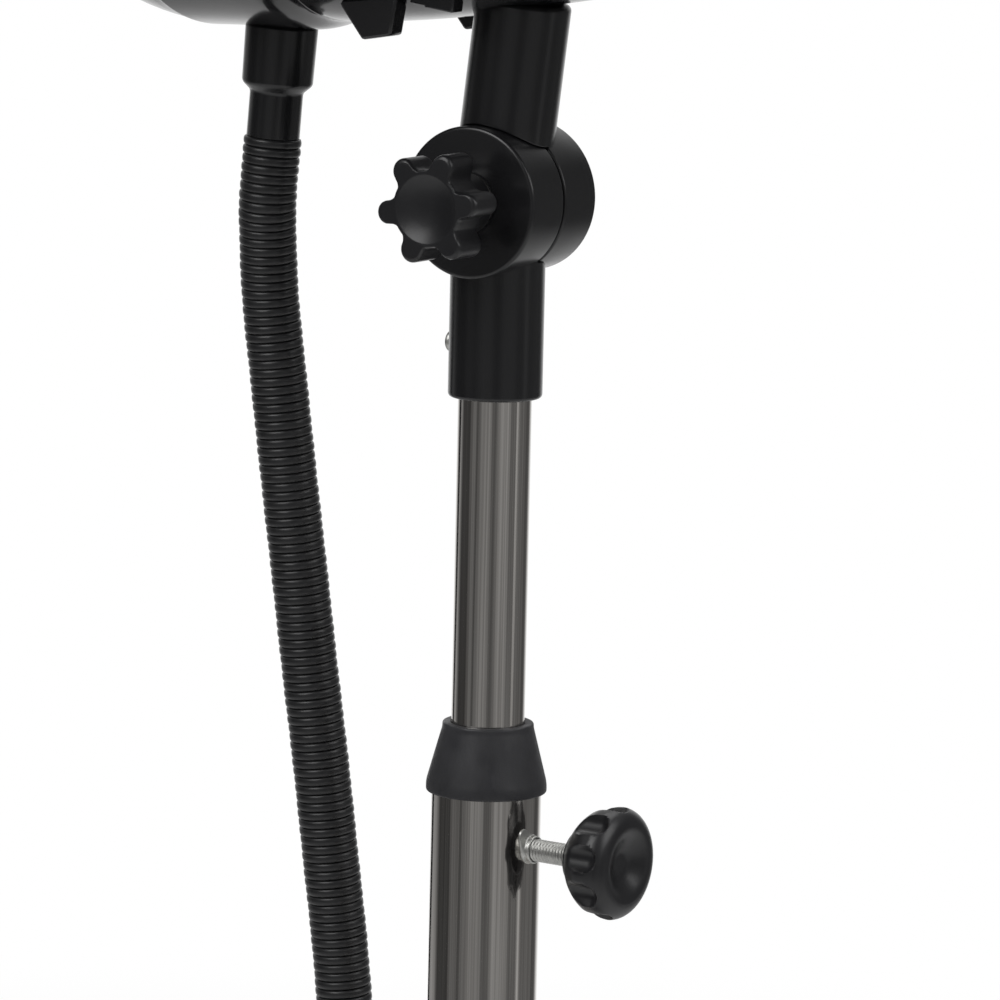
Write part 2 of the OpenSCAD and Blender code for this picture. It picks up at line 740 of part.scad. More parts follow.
module outlet_guard() {
  wire = 1.4;
  seat_r = spigot_r - shell_wall - fit;
  color("#b9bbbd") on_axis(-outlet_u - 4) {
    tube(2 * seat_r, 2 * seat_r - 3, 3);
    for (r = [9 : 8 : seat_r - 5]) tube(2 * r + wire, 2 * r - wire, 1.6);
    difference() {
      for (a = [0 : 60 : 120]) rotate(a) translate([-seat_r + 1, -wire / 2, 0])
        cube([2 * seat_r - 2, wire, 1.6]);
      translate([0, 0, -cut]) cylinder(r = 8.4, h = 5);
    }
  }
}

module nozzle() {
  tail_r = spigot_r + 2.6;
  wall = 2.2;
  color("#161618") on_axis(-outlet_u - spigot_len - nozzle_len) rotate_extrude() polygon([
    [mouth_r, 0], [mouth_r, tip_len], [mouth_r + 1.5, tip_len + 1.5], [tail_r, nozzle_len],
    [tail_r, nozzle_len + spigot_len - 1.5], [tail_r - 1, nozzle_len + spigot_len - 0.5],
    [spigot_r + 0.1, nozzle_len + spigot_len - 0.5], [spigot_r + 0.1, nozzle_len - 0.3],
    [spigot_r - shell_wall, nozzle_len - 0.3], [mouth_r - wall, tip_len], [mouth_r - wall, 0]]);
}

module intake_cover() {
  r = intake_r - 1 - gap;
  ribs_from = 10;
  color("#1b1b1d") on_axis(intake_u - cover_lap + 1) {
    tube(2 * r, 2 * r - 4.4, cover_lap);
    translate([0, 0, cover_lap - 3]) {
      cylinder(r = ribs_from, h = 4);
      for (k = [ribs_from + 4 : 6 : r - 5]) tube(2 * k + 2.6, 2 * k, 3);
      difference() {
        for (a = [0 : 45 : 135]) rotate(a) translate([-r + 1, -1.5, 0])
          cube([2 * r - 2, 3, 3]);
        translate([0, 0, -cut]) cylinder(r = ribs_from - 1, h = 6);
      }
    }
  }
}

module air_filter() {
  color("#5b5e60") on_axis(intake_u - cover_lap + 1) cylinder(r = intake_r - 4, h = 7);
}

// Place of the fan along the body's axis
fan_u = intake_u - fan_back;
fan_h = 18;
fan_r = rear_r(fan_u) - shell_wall - fan_room;
shaft_d = 6;

module fan_shroud() {
  flange_r = min(rear_r(fan_u - 6), rear_r(fan_u - 3)) - shell_wall - 2 * gap;
  color("#2a2a2c") on_axis(fan_u - 6) {
    tube(2 * fan_r + 9, 2 * fan_r + 4, fan_h + 12);
    tube(2 * flange_r, 2 * fan_r + 6, 3);
  }
}

module impeller() {
  hub_r = 21;
  pitch = 38;
  color("#303134") on_axis(fan_u) difference() {
    union() {
      cylinder(r = hub_r, h = fan_h);
      intersection() {
        for (k = [0 : fan_blades - 1]) rotate(k * 360 / fan_blades)
          translate([hub_r - 2, 0, fan_h / 2]) rotate([pitch, 0, 0])
            translate([0, -12, -1]) cube([fan_r - hub_r + 6, 24, 2]);
        cylinder(r = fan_r, h = fan_h);
      }
    }
    translate([0, 0, -cut]) cylinder(d = shaft_d + 2 * fit, h = fan_h + 2 * cut);
    translate([0, 0, -cut]) cylinder(r = hub_r - 3, h = 5);
  }
}

// The motor ends a little ahead of the fan, and the shaft reaches back into it
motor_gap = 8;
shaft_in = 18;
motor_u = fan_u - motor_gap - motor_len;

module motor() {
  color("#8a8c8f") on_axis(motor_u) difference() {
    union() {
      round_disc(2 * motor_r, motor_len, 3);
      translate([0, 0, motor_len]) cylinder(d = 20, h = 3);
      translate([0, 0, -6]) cylinder(d = 24, h = 7);
    }
    translate([0, 0, motor_len - shaft_in - 2]) cylinder(d = shaft_d + 2 * fit, h = 30);
  }
}

module motor_shaft() {
  color("#c9cacc") on_axis(fan_u - motor_gap - shaft_in)
    cylinder(d = shaft_d, h = motor_gap + shaft_in + fan_h + 4);
}

module motor_mount() {
  mount_len = 22;
  clear_r = motor_r + fit;
  ring_t = 3;
  color("#77797c") in_head() translate([0, motor_u + (motor_len - mount_len) / 2, 0]) difference() {
    union() {
      difference() {
        translate([0, 0, axis_h]) rotate([-90, 0, 0]) cylinder(r = clear_r + ring_t, h = mount_len);
        translate([-2 * motor_r, -cut, rail_w + rail_t - motor_r])
          cube([4 * motor_r, mount_len + 2 * cut, motor_r]);
      }
      translate([-rail_half, 0, rail_w + rail_t])
        cube([2 * rail_half, mount_len, axis_h - rail_w - rail_t - motor_r + 6]);
    }
    translate([0, -cut, axis_h]) rotate([-90, 0, 0]) cylinder(r = clear_r, h = mount_len + 2 * cut);
  }
}

heater_len = 66;
heater_u = motor_u - heater_gap - heater_len;
heater_r = front_r(heater_u) - shell_wall - heater_room;

module heater_frame() {
  sheet = 1.2;
  color("#c8b79a") {
    on_axis(heater_u) {
      translate([-heater_r + 1.5, -sheet / 2, 0]) cube([2 * heater_r - 3, sheet, heater_len]);
      translate([-sheet / 2, -heater_r + 1.5, 0]) cube([sheet, 2 * heater_r - 3, heater_len]);
    }
    in_head() translate([-sheet / 2, heater_u + heater_len - 20, rail_w + rail_t])
      cube([sheet, 18, axis_h - heater_r - rail_w - rail_t + 3]);
  }
}

module heater_windings() {
  color("#b0886a") on_axis(heater_u) for (k = [0 : heater_turns - 1])
    translate([0, 0, 6 + (heater_len - 22) * k / heater_turns])
      rotate_extrude() translate([heater_r, 0]) circle(r = 1.2, $fn = 24);
}

module thermal_cutout() {
  color("#d8d4c8") in_head() translate([0, motor_u - heater_gap / 2, rail_w + rail_t]) {
    cylinder(d = 16, h = 6);
    translate([0, 0, 6]) cylinder(d = 10, h = 2);
  }
}

// ---------------------------------------------------------------- controls on the left side

pod_u = 118;
pod_half = 25;
pod_r = 17;
pod_face = body_r + 7;
dial_d = 24;
dial_stem_d = 6;
switch_u = pod_u - pod_half + 5;
speed_u = pod_u + 2;
heat_u = pod_u + pod_half + 2;
light_u = pod_u - pod_half - 10;

// Places its children on the pod's face at u, with their Z pointing outwards
module on_pod(u) { in_head() translate([-pod_face, u, axis_h]) rotate([0, -90, 0]) children(); }

module control_pod() {
  depth = 26;
  color("#232325") difference() {
    on_pod(pod_u) translate([0, 0, -depth]) {
      for (s = [-1, 1]) translate([0, s * pod_half, 0]) {
        cylinder(r = pod_r, h = depth - 1.5);
        translate([0, 0, depth - 1.5]) cylinder(r1 = pod_r, r2 = pod_r - 1.5, h = 1.5);
      }
      translate([-pod_r, -pod_half, 0]) cube([2 * pod_r, 2 * pod_half, depth - 1.5]);
      translate([-pod_r + 1.5, -pod_half, depth - 1.6]) cube([2 * pod_r - 3, 2 * pod_half, 1.6]);
    }
    body_solid();
    for (u = [speed_u, heat_u]) on_pod(u) translate([0, 0, -5]) cylinder(d = dial_stem_d + 2 * fit, h = 10);
    on_pod(switch_u) {
      translate([-10, -6, -4]) cube([20, 12, 8]);
      translate([0, -7.5, -1.2]) rotate([-90, 0, 0]) cylinder(d = 3.1, h = 15);
    }
    on_pod(light_u) translate([0, 0, -3]) cylinder(d = 5.1, h = 6);
  }
}

module pilot_light() {
  color("#d8401c") on_pod(light_u) translate([0, 0, -2.5]) {
    cylinder(d = 5, h = 2.6);
    intersection() {
      translate([0, 0, 1.2]) sphere(d = 5, $fn = 48);
      translate([0, 0, 2]) cylinder(d = 5, h = 3);
    }
  }
}

module power_switch() {
  color("#b02018") on_pod(switch_u) difference() {
    union() {
      translate([-9.4, -5.5, -1.6]) cube([18.8, 11, 4.6]);
      translate([0, -7.2, -1.2]) rotate([-90, 0, 0]) cylinder(d = 3, h = 14.4);
    }
    translate([0, -6, 41]) rotate([-90, 0, 0]) cylinder(r = 39.6, h = 12, $fn = 96);
  }
}

module dial(u, mark) {
  color("#1b1b1d") on_pod(u) difference() {
    union() {
      translate([0, 0, 0.5]) cylinder(d = dial_d - 4, h = 1.5);
      translate([0, 0, 2]) intersection() {
        round_disc(dial_d, 11, 1.6);
        union() {
          cylinder(d = dial_d - 2.4, h = 12);
          for (k = [0 : 17]) rotate(20 * k) translate([dial_d / 2 - 1.4, 0, 0])
            cylinder(r = 1.4, h = 12, $fn = 24);
        }
      }
      translate([0, 0, -4.5]) cylinder(d = dial_stem_d, h = 8);
    }
    rotate(mark) translate([-0.8, 4, 12]) cube([1.6, 7, 3]);
  }
}

module speed_dial() { dial(speed_u, 40); }

module heat_dial() { dial(heat_u, -50); }

// ---------------------------------------------------------------- casters

// Places its children on caster i's stem axis at floor level, with their X pointing to its axle
module at_caster(i) {
  rotate([0, 0, leg_turn(i)]) translate([base_r, 0, 0]) rotate([0, 0, caster_turn(i)]) children();
}

// The yoke is one plate between the wheels, with a hood over them and the swivel stem on top
module caster_yoke(i) {
  hood_top = tip_bottom - hood_gap;
  boss_bottom = wheel_d + 1;
  plate_r = 9;
  color("#242426") at_caster(i) {
    difference() {
      union() {
        translate([0, 0, boss_bottom]) cylinder(d = 22, h = hood_top - boss_bottom);
        translate([caster_trail, plate_t / 2, wheel_r]) rotate([90, 0, 0])
          cylinder(r = hood_r, h = plate_t);
        translate([-9, -plate_t / 2, wheel_r]) cube([caster_trail + 9, plate_t, hood_top - wheel_r]);
        translate([lever_x, plate_t / 2, lever_z]) rotate([90, 0, 0])
          cylinder(r = lever_lug_r, h = plate_t);
        difference() {
          translate([caster_trail, hood_half, wheel_r]) rotate([90, 0, 0])
            tube(2 * hood_r, 2 * (hood_r - hood_t), 2 * hood_half);
          translate([caster_trail - 60, -60, -60]) cube([120, 120, 60 + wheel_r + 3]);
          translate([caster_trail + 7, -60, 0]) cube([60, 120, 60]);
        }
      }
      translate([-60, -60, -60]) cube([120, 120, 60 + wheel_r - plate_r]);
    }
    translate([0, 0, hood_top - 2]) cylinder(d = stem_d, h = hood_gap + 2 + stem_depth - 1);
    translate([caster_trail, hood_half + 0.7, wheel_r]) rotate([90, 0, 0])
      cylinder(d = axle_d, h = 2 * (hood_half + 0.7));
    translate([lever_x, 7, lever_z]) rotate([90, 0, 0]) cylinder(d = lever_pin_d, h = 14);
  }
}

module caster_wheels(i) {
  tread_e = 4;
  recess = 1.5;
  color("#39393c") at_caster(i) for (s = [-1, 1])
    translate([caster_trail, s * (hood_half - wheel_w / 2), wheel_r]) rotate([90, 0, 0])
      translate([0, 0, -wheel_w / 2]) difference() {
        round_disc(wheel_d, wheel_w, tread_e);
        translate([0, 0, -cut]) cylinder(d = axle_d + 2 * fit, h = wheel_w + 2 * cut);
        translate([0, 0, s < 0 ? wheel_w - recess : -recess]) tube(wheel_d - 14, 20, 2 * recess);
      }
}

// Foot lever: two cheeks on the yoke's pin, joined by a web outside the lug, and a pedal
module brake_lever(i) {
  cheek_t = 2;
  cheek_in = plate_t / 2 + gap;
  web_in = lever_lug_r + gap;
  pedal_w = 20;
  color("#77797c") at_caster(i) translate([lever_x, 0, lever_z]) difference() {
    union() {
      for (s = [-1, 1]) translate([0, s * (cheek_in + cheek_t / 2) + cheek_t / 2, 0]) rotate([90, 0, 0]) {
        cylinder(r = lever_lug_r, h = cheek_t);
        translate([0, -1.5, 0]) cube([web_in + 2.5, 6, cheek_t]);
      }
      translate([web_in, -cheek_in - cheek_t, -1.5]) cube([2.5, 2 * (cheek_in + cheek_t), 6]);
      translate([web_in, -pedal_w / 2, 2]) cube([14, pedal_w, 2.5]);
    }
    translate([0, 20, 0]) rotate([90, 0, 0]) cylinder(d = lever_pin_d + 2 * fit, h = 40);
  }
}

// ---------------------------------------------------------------- conduit

// Route from the cuff's sleeve down behind the column and round into the gland
conduit_route = [[0, 92.8, 914.9], [0, 94.5, 894], [2, 95.6, 880], [5, 96, 857], [8, 94, 828],
  [11, 91, 793], [14, 88, 760], [17, 85, 726], [20, 81.5, 691], [23, 78.5, 656], [26, 75.5, 621],
  [28, 73.5, 588], [30, 74, 556], [31, 79, 522], [31, 89, 488], [30, 104, 455], [28, 124, 426],
  [25, 148, 400], [22, 174, 376], [19, 200, 350], [16, 222, 318], [13, 235, 282], [10, 238, 244],
  [7, 230, 208], [4, 212, 176], [2, 186, 149], [0, 156, 131], [0, 124, 123], [0, 90, 122],
  [0, 54.1, 122]];

module conduit() {
  color("#1d1d1f") ribbed_tube(conduit_route);
}

// Point of a smooth curve through the route, t counted in route steps
function on_route(p, t) =
  let (n = len(p) - 1, i = min(n - 1, floor(t)), f = t - i,
    b = p[i], c = p[i + 1], a = i > 0 ? p[i - 1] : 2 * b - c, d = i < n - 1 ? p[i + 2] : 2 * c - b)
  b + f * (c - a) / 2 + f * f * (2 * a - 5 * b + 4 * c - d) / 2 + f * f * f * (3 * b - a - 3 * c + d) / 2;

function running(list, i = 0, sum = 0, out = []) =
  i > len(list) ? out : running(list, i + 1, sum + (i < len(list) ? list[i] : 0), concat(out, [sum]));

// One ring of points round c, in the plane square to t
function ring_at(c, t, r, n) =
  let (n1 = t / norm(t), s = cross(n1, [1, 0, 0]), u = s / norm(s), v = cross(n1, u))
  [for (k = [0 : n - 1]) c + r * (cos(360 * k / n) * u + sin(360 * k / n) * v)];

module ribbed_tube(route) {
  sides = 8;
  fine = 12;
  steps = (len(route) - 1) * fine;
  line = [for (i = [0 : steps]) on_route(route, i / fine)];
  far = running([for (i = [0 : steps - 1]) norm(line[i + 1] - line[i])]);
  total = far[steps];
  at = [for (i = [0 : steps]) [far[i], i]];
  rings = 2 * rib_count + 1;
  function place(s) =
    let (q = lookup(s, at), i = min(steps - 1, floor(q))) line[i] + (q - i) * (line[i + 1] - line[i]);
  function way(s) = place(min(total, s + 2)) - place(max(0, s - 2));
  outer = [for (j = [0 : rings - 1]) let (s = total * j / (rings - 1))
    each ring_at(place(s), way(s), (j % 2 == 0 ? sleeve_d - 1.2 : conduit_d) / 2, sides)];
  bore_rings = 50;
  inner = [for (j = [0 : bore_rings - 1]) let (s = total * j / (bore_rings - 1))
    each ring_at(place(s), way(s), conduit_bore / 2, sides)];
  o = rings * sides;
  echo(conduit_length = total);
  polyhedron(points = concat(outer, inner), faces = concat(
    [for (j = [0 : rings - 2], k = [0 : sides - 1]) let (a = j * sides, b = a + sides, m = (k + 1) % sides)
      each [[a + k, b + m, b + k], [a + k, a + m, b + m]]],
    [for (j = [0 : bore_rings - 2], k = [0 : sides - 1])
      let (a = o + j * sides, b = a + sides, m = (k + 1) % sides)
      each [[a + k, b + k, b + m], [a + k, b + m, a + m]]],
    [for (k = [0 : sides - 1]) let (m = (k + 1) % sides) each [[k, o + k, m], [m, o + k, o + m]]],
    [for (k = [0 : sides - 1]) let (m = (k + 1) % sides, a = o - sides, b = o + (bore_rings - 1) * sides)
      each [[a + k, a + m, b + k], [a + m, b + m, b + k]]]));
}

base_hub();
leg(1);  // leg_1
leg(2);  // leg_2
leg(3);  // leg_3
leg(4);  // leg_4
leg(5);  // leg_5
base_screws();
outer_column();
collar();
conduit_gland();
mains_gland();
conduit();
guide_bush();
mast_tube();
socket_knuckle();
socket_screw();
friction_disc();
tilt_bolt();
tilt_knob();
lock_screw();
lock_knob();
neck_knuckle();
neck_bolts();
chassis_rail();
front_shell();
rear_shell();
shell_screws();
rest_feet();
shell_clips();
conduit_cuff();
intake_cover();
air_filter();
fan_shroud();
motor();
motor_mount();
motor_shaft();
impeller();
heater_frame();
heater_windings();
thermal_cutout();
outlet_guard();
nozzle();
control_pod();
pilot_light();
power_switch();
speed_dial();
heat_dial();
caster_yoke(1);  // caster_yoke_1
caster_yoke(2);  // caster_yoke_2
caster_yoke(3);  // caster_yoke_3
caster_yoke(4);  // caster_yoke_4
caster_yoke(5);  // caster_yoke_5
caster_wheels(1);  // caster_wheels_1
caster_wheels(2);  // caster_wheels_2
caster_wheels(3);  // caster_wheels_3
caster_wheels(4);  // caster_wheels_4
caster_wheels(5);  // caster_wheels_5
brake_lever(1);  // brake_lever_1
brake_lever(3);  // brake_lever_3
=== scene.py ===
# %% [markdown]
# # A pet dryer on a wheeled stand
#
# A groomer's dryer is a blower head on a telescoping steel mast. The head tilts on a clamped knuckle, a
# ribbed conduit hangs behind the column, and a star base carries it all on five twin-wheel casters.
# The solid model gives every size. This script gives each piece its rounded edges, threads, ribs and
# finish, and keeps it where the solid model has it.

import bmesh
import bpy
import numpy as np
from mathutils import Matrix, Vector


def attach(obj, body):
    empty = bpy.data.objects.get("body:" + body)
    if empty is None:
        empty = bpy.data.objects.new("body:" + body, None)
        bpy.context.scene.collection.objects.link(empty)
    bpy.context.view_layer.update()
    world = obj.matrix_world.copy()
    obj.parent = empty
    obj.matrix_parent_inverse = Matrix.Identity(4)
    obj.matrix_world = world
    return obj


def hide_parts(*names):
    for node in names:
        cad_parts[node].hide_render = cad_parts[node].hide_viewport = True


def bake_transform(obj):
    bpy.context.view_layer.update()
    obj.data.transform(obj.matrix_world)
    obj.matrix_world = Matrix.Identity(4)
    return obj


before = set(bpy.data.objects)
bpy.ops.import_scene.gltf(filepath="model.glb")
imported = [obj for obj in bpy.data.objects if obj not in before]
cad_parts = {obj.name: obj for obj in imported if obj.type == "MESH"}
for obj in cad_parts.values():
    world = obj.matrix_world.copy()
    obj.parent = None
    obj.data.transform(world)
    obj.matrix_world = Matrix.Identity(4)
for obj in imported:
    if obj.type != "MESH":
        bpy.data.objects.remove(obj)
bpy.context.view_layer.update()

# %% [markdown]
# The camera is made first. It stands beside the air stream, about two metres off, a little above the
# knuckle, and looks nine degrees down with a long lens, as a product shot does. Its three axes are
# worked out from the heading and the pitch, and a turn of about one degree rolls the picture.

# %% Camera
heading, look_down, roll = np.radians([59, 9, -1.266])
camera_spot, lens, film_width = (-1.62933, -0.98191, 1.09716), 201.6, 36


def placed(name, data):
    """A new object of the scene."""
    thing = bpy.data.objects.new(name, data)
    bpy.context.scene.collection.objects.link(thing)
    return thing


forward = np.round([np.sin(heading) * np.cos(look_down), np.cos(heading) * np.cos(look_down),
                    -np.sin(look_down)], 5)
level_right = np.array([np.cos(heading), -np.sin(heading), 0])
level_up = np.cross(level_right, forward)
right = level_right * np.cos(roll) - level_up * np.sin(roll)
up = level_up * np.cos(roll) + level_right * np.sin(roll)
camera = placed("camera", bpy.data.cameras.new("camera"))
turned = np.eye(4)
turned[:3, :3] = np.column_stack([right, up, -forward])
turned[:3, 3] = camera_spot
camera.matrix_world = Matrix(turned.tolist())
camera.data.sensor_width, camera.data.lens = film_width, lens
camera.data.clip_end = 100
bpy.context.scene.camera = camera
print("camera at", camera_spot, "lens", lens, "mm")

# %% [markdown]
# Every piece is drawn in its own axes, where it is simple, and then placed. A place is three rows, which
# say where the piece's own x, y and z point, and an origin. Sizes are in millimetres until the mesh is
# made. The head leans 6.8 degrees forward, and its own y runs back along the blower and z up the neck.

# %% Places
lean, lock_turn = np.radians(6.8), np.radians(3)
hinge_z, axis_h, lock_z = 900.0, 132.0, 675.7


def within(place, rows, origin=(0, 0, 0)):
    """The place that lies inside another: its rows and origin are told in that one's axes."""
    rows, origin = np.array(rows, float), np.array(origin, float)
    return rows @ place[0], origin @ place[0] + place[1]


def put(points, place):
    """Points of a piece's own axes in the world: each coordinate times its row, and then the origin."""
    return points @ place[0] + place[1]


def turned_x(angle):
    """Rows of axes turned about x by an angle in radians."""
    c, s = np.cos(angle), np.sin(angle)
    return [[1, 0, 0], [0, c, s], [0, -s, c]]


def turned_z(angle):
    """Rows of axes turned about z by an angle in radians."""
    c, s = np.cos(angle), np.sin(angle)
    return [[c, s, 0], [-s, c, 0], [0, 0, 1]]


WORLD = (np.eye(3), np.zeros(3))
HEAD = within(WORLD, turned_x(lean), (0, 0, hinge_z))
ALONG_BACK, TO_FRONT = [[1, 0, 0], [0, 0, -1], [0, 1, 0]], [[1, 0, 0], [0, 0, 1], [0, -1, 0]]
TO_LEFT = [[0, 0, 1], [0, 1, 0], [-1, 0, 0]]
TO_RIGHT = [[0, 0, -1], [0, 1, 0], [1, 0, 0]]
BLOW = within(HEAD, ALONG_BACK, (0, 0, axis_h))
TILT = within(WORLD, TO_LEFT, (0, 0, hinge_z))
NECK_DISC = within(HEAD, TO_RIGHT)
LOCK = within(within(WORLD, turned_z(-lock_turn), (0, 0, lock_z)), TO_FRONT)
print("lock screw points along", LOCK[0][2].round(3))

# %% [markdown]
# The conduit is a corrugated plastic hose that carries the leads from the base up to the head. It is a
# cord, so it comes before the other pieces. Its route hangs down behind the column, bows out to the
# rear, and comes back into the hub, so that the mast can rise by 150 mm. A smooth curve runs through
# chosen points: between two of them each coordinate is a cubic whose slopes follow the neighbours.

# %% Conduit route
route = np.array([
    [0, 92.8, 914.9], [0, 94.5, 894], [2, 95.6, 880], [5, 96, 857], [8, 94, 828], [11, 91, 793],
    [14, 88, 760], [17, 85, 726], [20, 81.5, 691], [23, 78.5, 656], [26, 75.5, 621], [28, 73.5, 588],
    [30, 74, 556], [31, 79, 522], [31, 89, 488], [30, 104, 455], [28, 124, 426], [25, 148, 400],
    [22, 174, 376], [19, 200, 350], [16, 222, 318], [13, 235, 282], [10, 238, 244], [7, 230, 208],
    [4, 212, 176], [2, 186, 149], [0, 156, 131], [0, 124, 123], [0, 90, 122], [0, 54.1, 122]])


def smooth_route(points, fine):
    """Cubic through the points: b + f(c-a)/2 + f^2(2a-5b+4c-d)/2 + f^3(3b-a-3c+d)/2 from b to c."""
    ends = np.vstack([2 * points[0] - points[1], points, 2 * points[-1] - points[-2]])
    a, b, c, d = (ends[k:len(ends) - 3 + k, None] for k in range(4))
    f = (np.arange(fine) / fine)[None, :, None]
    cubic = b + f * (c - a) / 2 + f**2 * (2 * a - 5 * b + 4 * c - d) / 2 + f**3 * (3 * b - a - 3 * c + d) / 2
    return np.vstack([cubic.reshape(-1, 3), points[-1:]])


def travelled(points):
    """Distance along a line at each of its points: the sum of the steps before it."""
    return np.concatenate([[0], np.cumsum(np.linalg.norm(np.diff(points, axis=0), axis=1))])


def unit(rows):
    """Vectors of length one in the same directions."""
    return rows / np.maximum(np.linalg.norm(rows, axis=-1, keepdims=True), 1e-9)


conduit_line = smooth_route(route, 12)
conduit_far = travelled(conduit_line)
conduit_length = conduit_far[-1]
print("conduit is", round(conduit_length, 1), "mm long")

# %% [markdown]
# A mesh is made from grids. Each grid is a table of points whose columns close round, such as the rings
# of a lathe. Its first and last rows are closed with a face each, or joined to each other where the grid
# closes both ways. The volume that the faces enclose tells which way they point, and a grid that is
# inside out is turned round. Numpy works all of it out at once.

# %% Mesh from grids
def grid_faces(rows, columns, ring):
    """Four-cornered faces between neighbouring rows and columns of a grid, as rows of point numbers."""
    last = rows if ring else rows - 1
    i, j = np.meshgrid(np.arange(last), np.arange(columns), indexing="ij")
    below, beside = (i + 1) % rows, (j + 1) % columns
    return np.stack([i * columns + j, i * columns + beside, below * columns + beside, below * columns + j],
                    axis=-1).reshape(-1, 4)


def enclosed(points, faces):
    """Volume between the faces and the origin, with a sign that tells which way they point: the sum of
    (a . (b x c) + a . (c x d)) / 6 over the faces, each with the corners a, b, c and d."""
    a, b, c, d = (points[faces[:, k]] for k in range(4))
    return (np.einsum("ij,ij->i", a, np.cross(b, c)) + np.einsum("ij,ij->i", a, np.cross(c, d))).sum() / 6


def mesh_of(name, grids, sharp):
    """Puts grids of millimetre points into one mesh in metres, with faces that point outwards."""
    points, corners, sizes, start = [], [], [], 0
    for grid, ring in grids:
        rows, columns = grid.shape[:2]
        flat = grid.reshape(-1, 3)
        faces = grid_faces(rows, columns, ring)
        volume = enclosed(flat - flat.mean(0), faces)
        around = np.arange(columns)
        caps = [] if ring else [around[::-1], (rows - 1) * columns + around]
        if volume < 0:
            faces, caps = faces[:, ::-1], [cap[::-1] for cap in caps]
        points.append(flat)
        corners += [faces.ravel() + start, *[cap + start for cap in caps]]
        sizes += [np.full(len(faces), 4), *[np.array([columns]) for _ in caps]]
        start += len(flat)
    points, corners, sizes = np.vstack(points) * 0.001, np.concatenate(corners), np.concatenate(sizes)
    mesh = bpy.data.meshes.new(name)
    mesh.vertices.add(len(points))
    mesh.vertices.foreach_set("co", points.astype(np.float32).ravel())
    mesh.loops.add(len(corners))
    mesh.loops.foreach_set("vertex_index", corners.astype(np.int32))
    mesh.polygons.add(len(sizes))
    mesh.polygons.foreach_set("loop_start", (np.cumsum(sizes) - sizes).astype(np.int32))
    mesh.polygons.foreach_set("use_smooth", np.ones(len(sizes), bool))
    mesh.update(calc_edges=True)
    mesh.validate()
    mesh.set_sharp_from_angle(angle=np.radians(sharp))
    return mesh


made = {}


def show(name, mesh, look, body, nodes):
    """Adds a piece with its finish, lets it ride on a body, and hides the solid nodes that it stands for."""
    piece = placed(name, mesh)
    piece.data.materials.clear()
    piece.data.materials.append(look)
    if body:
        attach(piece, body)
    if nodes:
        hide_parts(*nodes)
    made[name] = len(mesh.polygons)
    return piece


def build(name, grids, look, body, nodes=(), sharp=32):
    """Shows a piece made of grids. Edges that turn by more than sharp, in degrees, stay crisp."""
    return show(name, mesh_of(name, grids, sharp), look, body, nodes)


print("grids are ready")

# %% [markdown]
# Most pieces of the dryer are turned or moulded round an axis. A lathe turns a profile of radius and
# height round z. Real edges are never sharp, so the corners of a profile are cut back and bridged with
# short arcs. A profile may close on itself, as a tube's wall does, or run from axis to axis.

# %% Lathe
def soften(profile, radius, closed=False, steps=5):
    """Rounds each corner: from a point on one side, over the corner, to a point on the other side, the
    curve is (1-t)^2 a + 2t(1-t) b + t^2 c. The cut-back is the radius, or less on a short side."""
    p = np.array(profile, float)
    before, after = np.roll(p, 1, axis=0) - p, np.roll(p, -1, axis=0) - p
    cut = np.broadcast_to(np.asarray(radius, float), len(p)).copy()
    if not closed:
        cut[[0, -1]] = 0
    shorter = np.minimum(np.linalg.norm(before, axis=1), np.linalg.norm(after, axis=1))
    cut = np.minimum(cut, 0.48 * shorter)[:, None, None]
    a, c = (p[:, None] + cut * unit(side)[:, None] for side in (before, after))
    t = np.linspace(0, 1, steps)[None, :, None]
    curve = (1 - t) ** 2 * a + 2 * t * (1 - t) * p[:, None] + t**2 * c
    keep = np.ones((len(p), steps), bool)
    keep[cut[:, 0, 0] < 1e-6, 1:] = False
    return curve[keep]


def dense(profile, step):
    """The same profile with extra points, so that no two are further apart than a step."""
    p = np.array(profile, float)
    far = travelled(p)
    s = np.unique(np.concatenate([far, np.arange(0, far[-1], step)]).round(6))
    return np.column_stack([np.interp(s, far, p[:, k]) for k in (0, 1)])


def lathe(profile, place, ring=False, sides=72, shape=None):
    """Point (r cos a, r sin a, z) for each profile point (r, z) and angle a. A shape, if given, turns the
    radius, the height and the angle into a new radius. The radius stays above a hair's breadth."""
    profile = np.array(profile, float)
    angle = np.arange(sides) * 2 * np.pi / sides
    r = np.repeat(profile[:, :1], sides, axis=1)
    z = np.repeat(profile[:, 1:], sides, axis=1)
    if shape is not None:
        r = shape(r, z, angle[None, :])
    r = np.maximum(r, 0.04)
    return put(np.stack([r * np.cos(angle), r * np.sin(angle), z], axis=-1), place), ring


def turned_wall(profile, edges, place, sides, steps=5, shape=None):
    """A lathe of a profile that closes on itself, as a tube's wall does, with its corners softened first."""
    return lathe(soften(profile, edges, closed=True, steps=steps), place, True, sides, shape)


print("a softened square has", len(soften([[0, 0], [9, 0], [9, 9], [0, 9]], 1, closed=True)), "points")

# %% [markdown]
# The knuckle's half cylinders, its gusset and the grille's spokes aren't round. They are stacks of
# outlines: the same outline drawn in a little at both ends, so that every edge is rounded. Drawing in
# moves each point along the mean of its two edges' normals.

# %% Stacks of outlines
def drawn_in(outline, amount):
    """Outline moved inwards by an amount, along the mean normal over its length squared."""
    p = np.asarray(outline, float)
    edge = np.roll(p, -1, axis=0) - p
    normal = unit(np.stack([-edge[:, 1], edge[:, 0]], axis=1))
    mean = normal + np.roll(normal, 1, axis=0)
    mean /= np.maximum((mean**2).sum(1), 0.5)[:, None] / 2
    area = (p[:, 0] * np.roll(p[:, 1], -1) - p[:, 1] * np.roll(p[:, 0], -1)).sum()
    return p + np.sign(area) * amount * mean


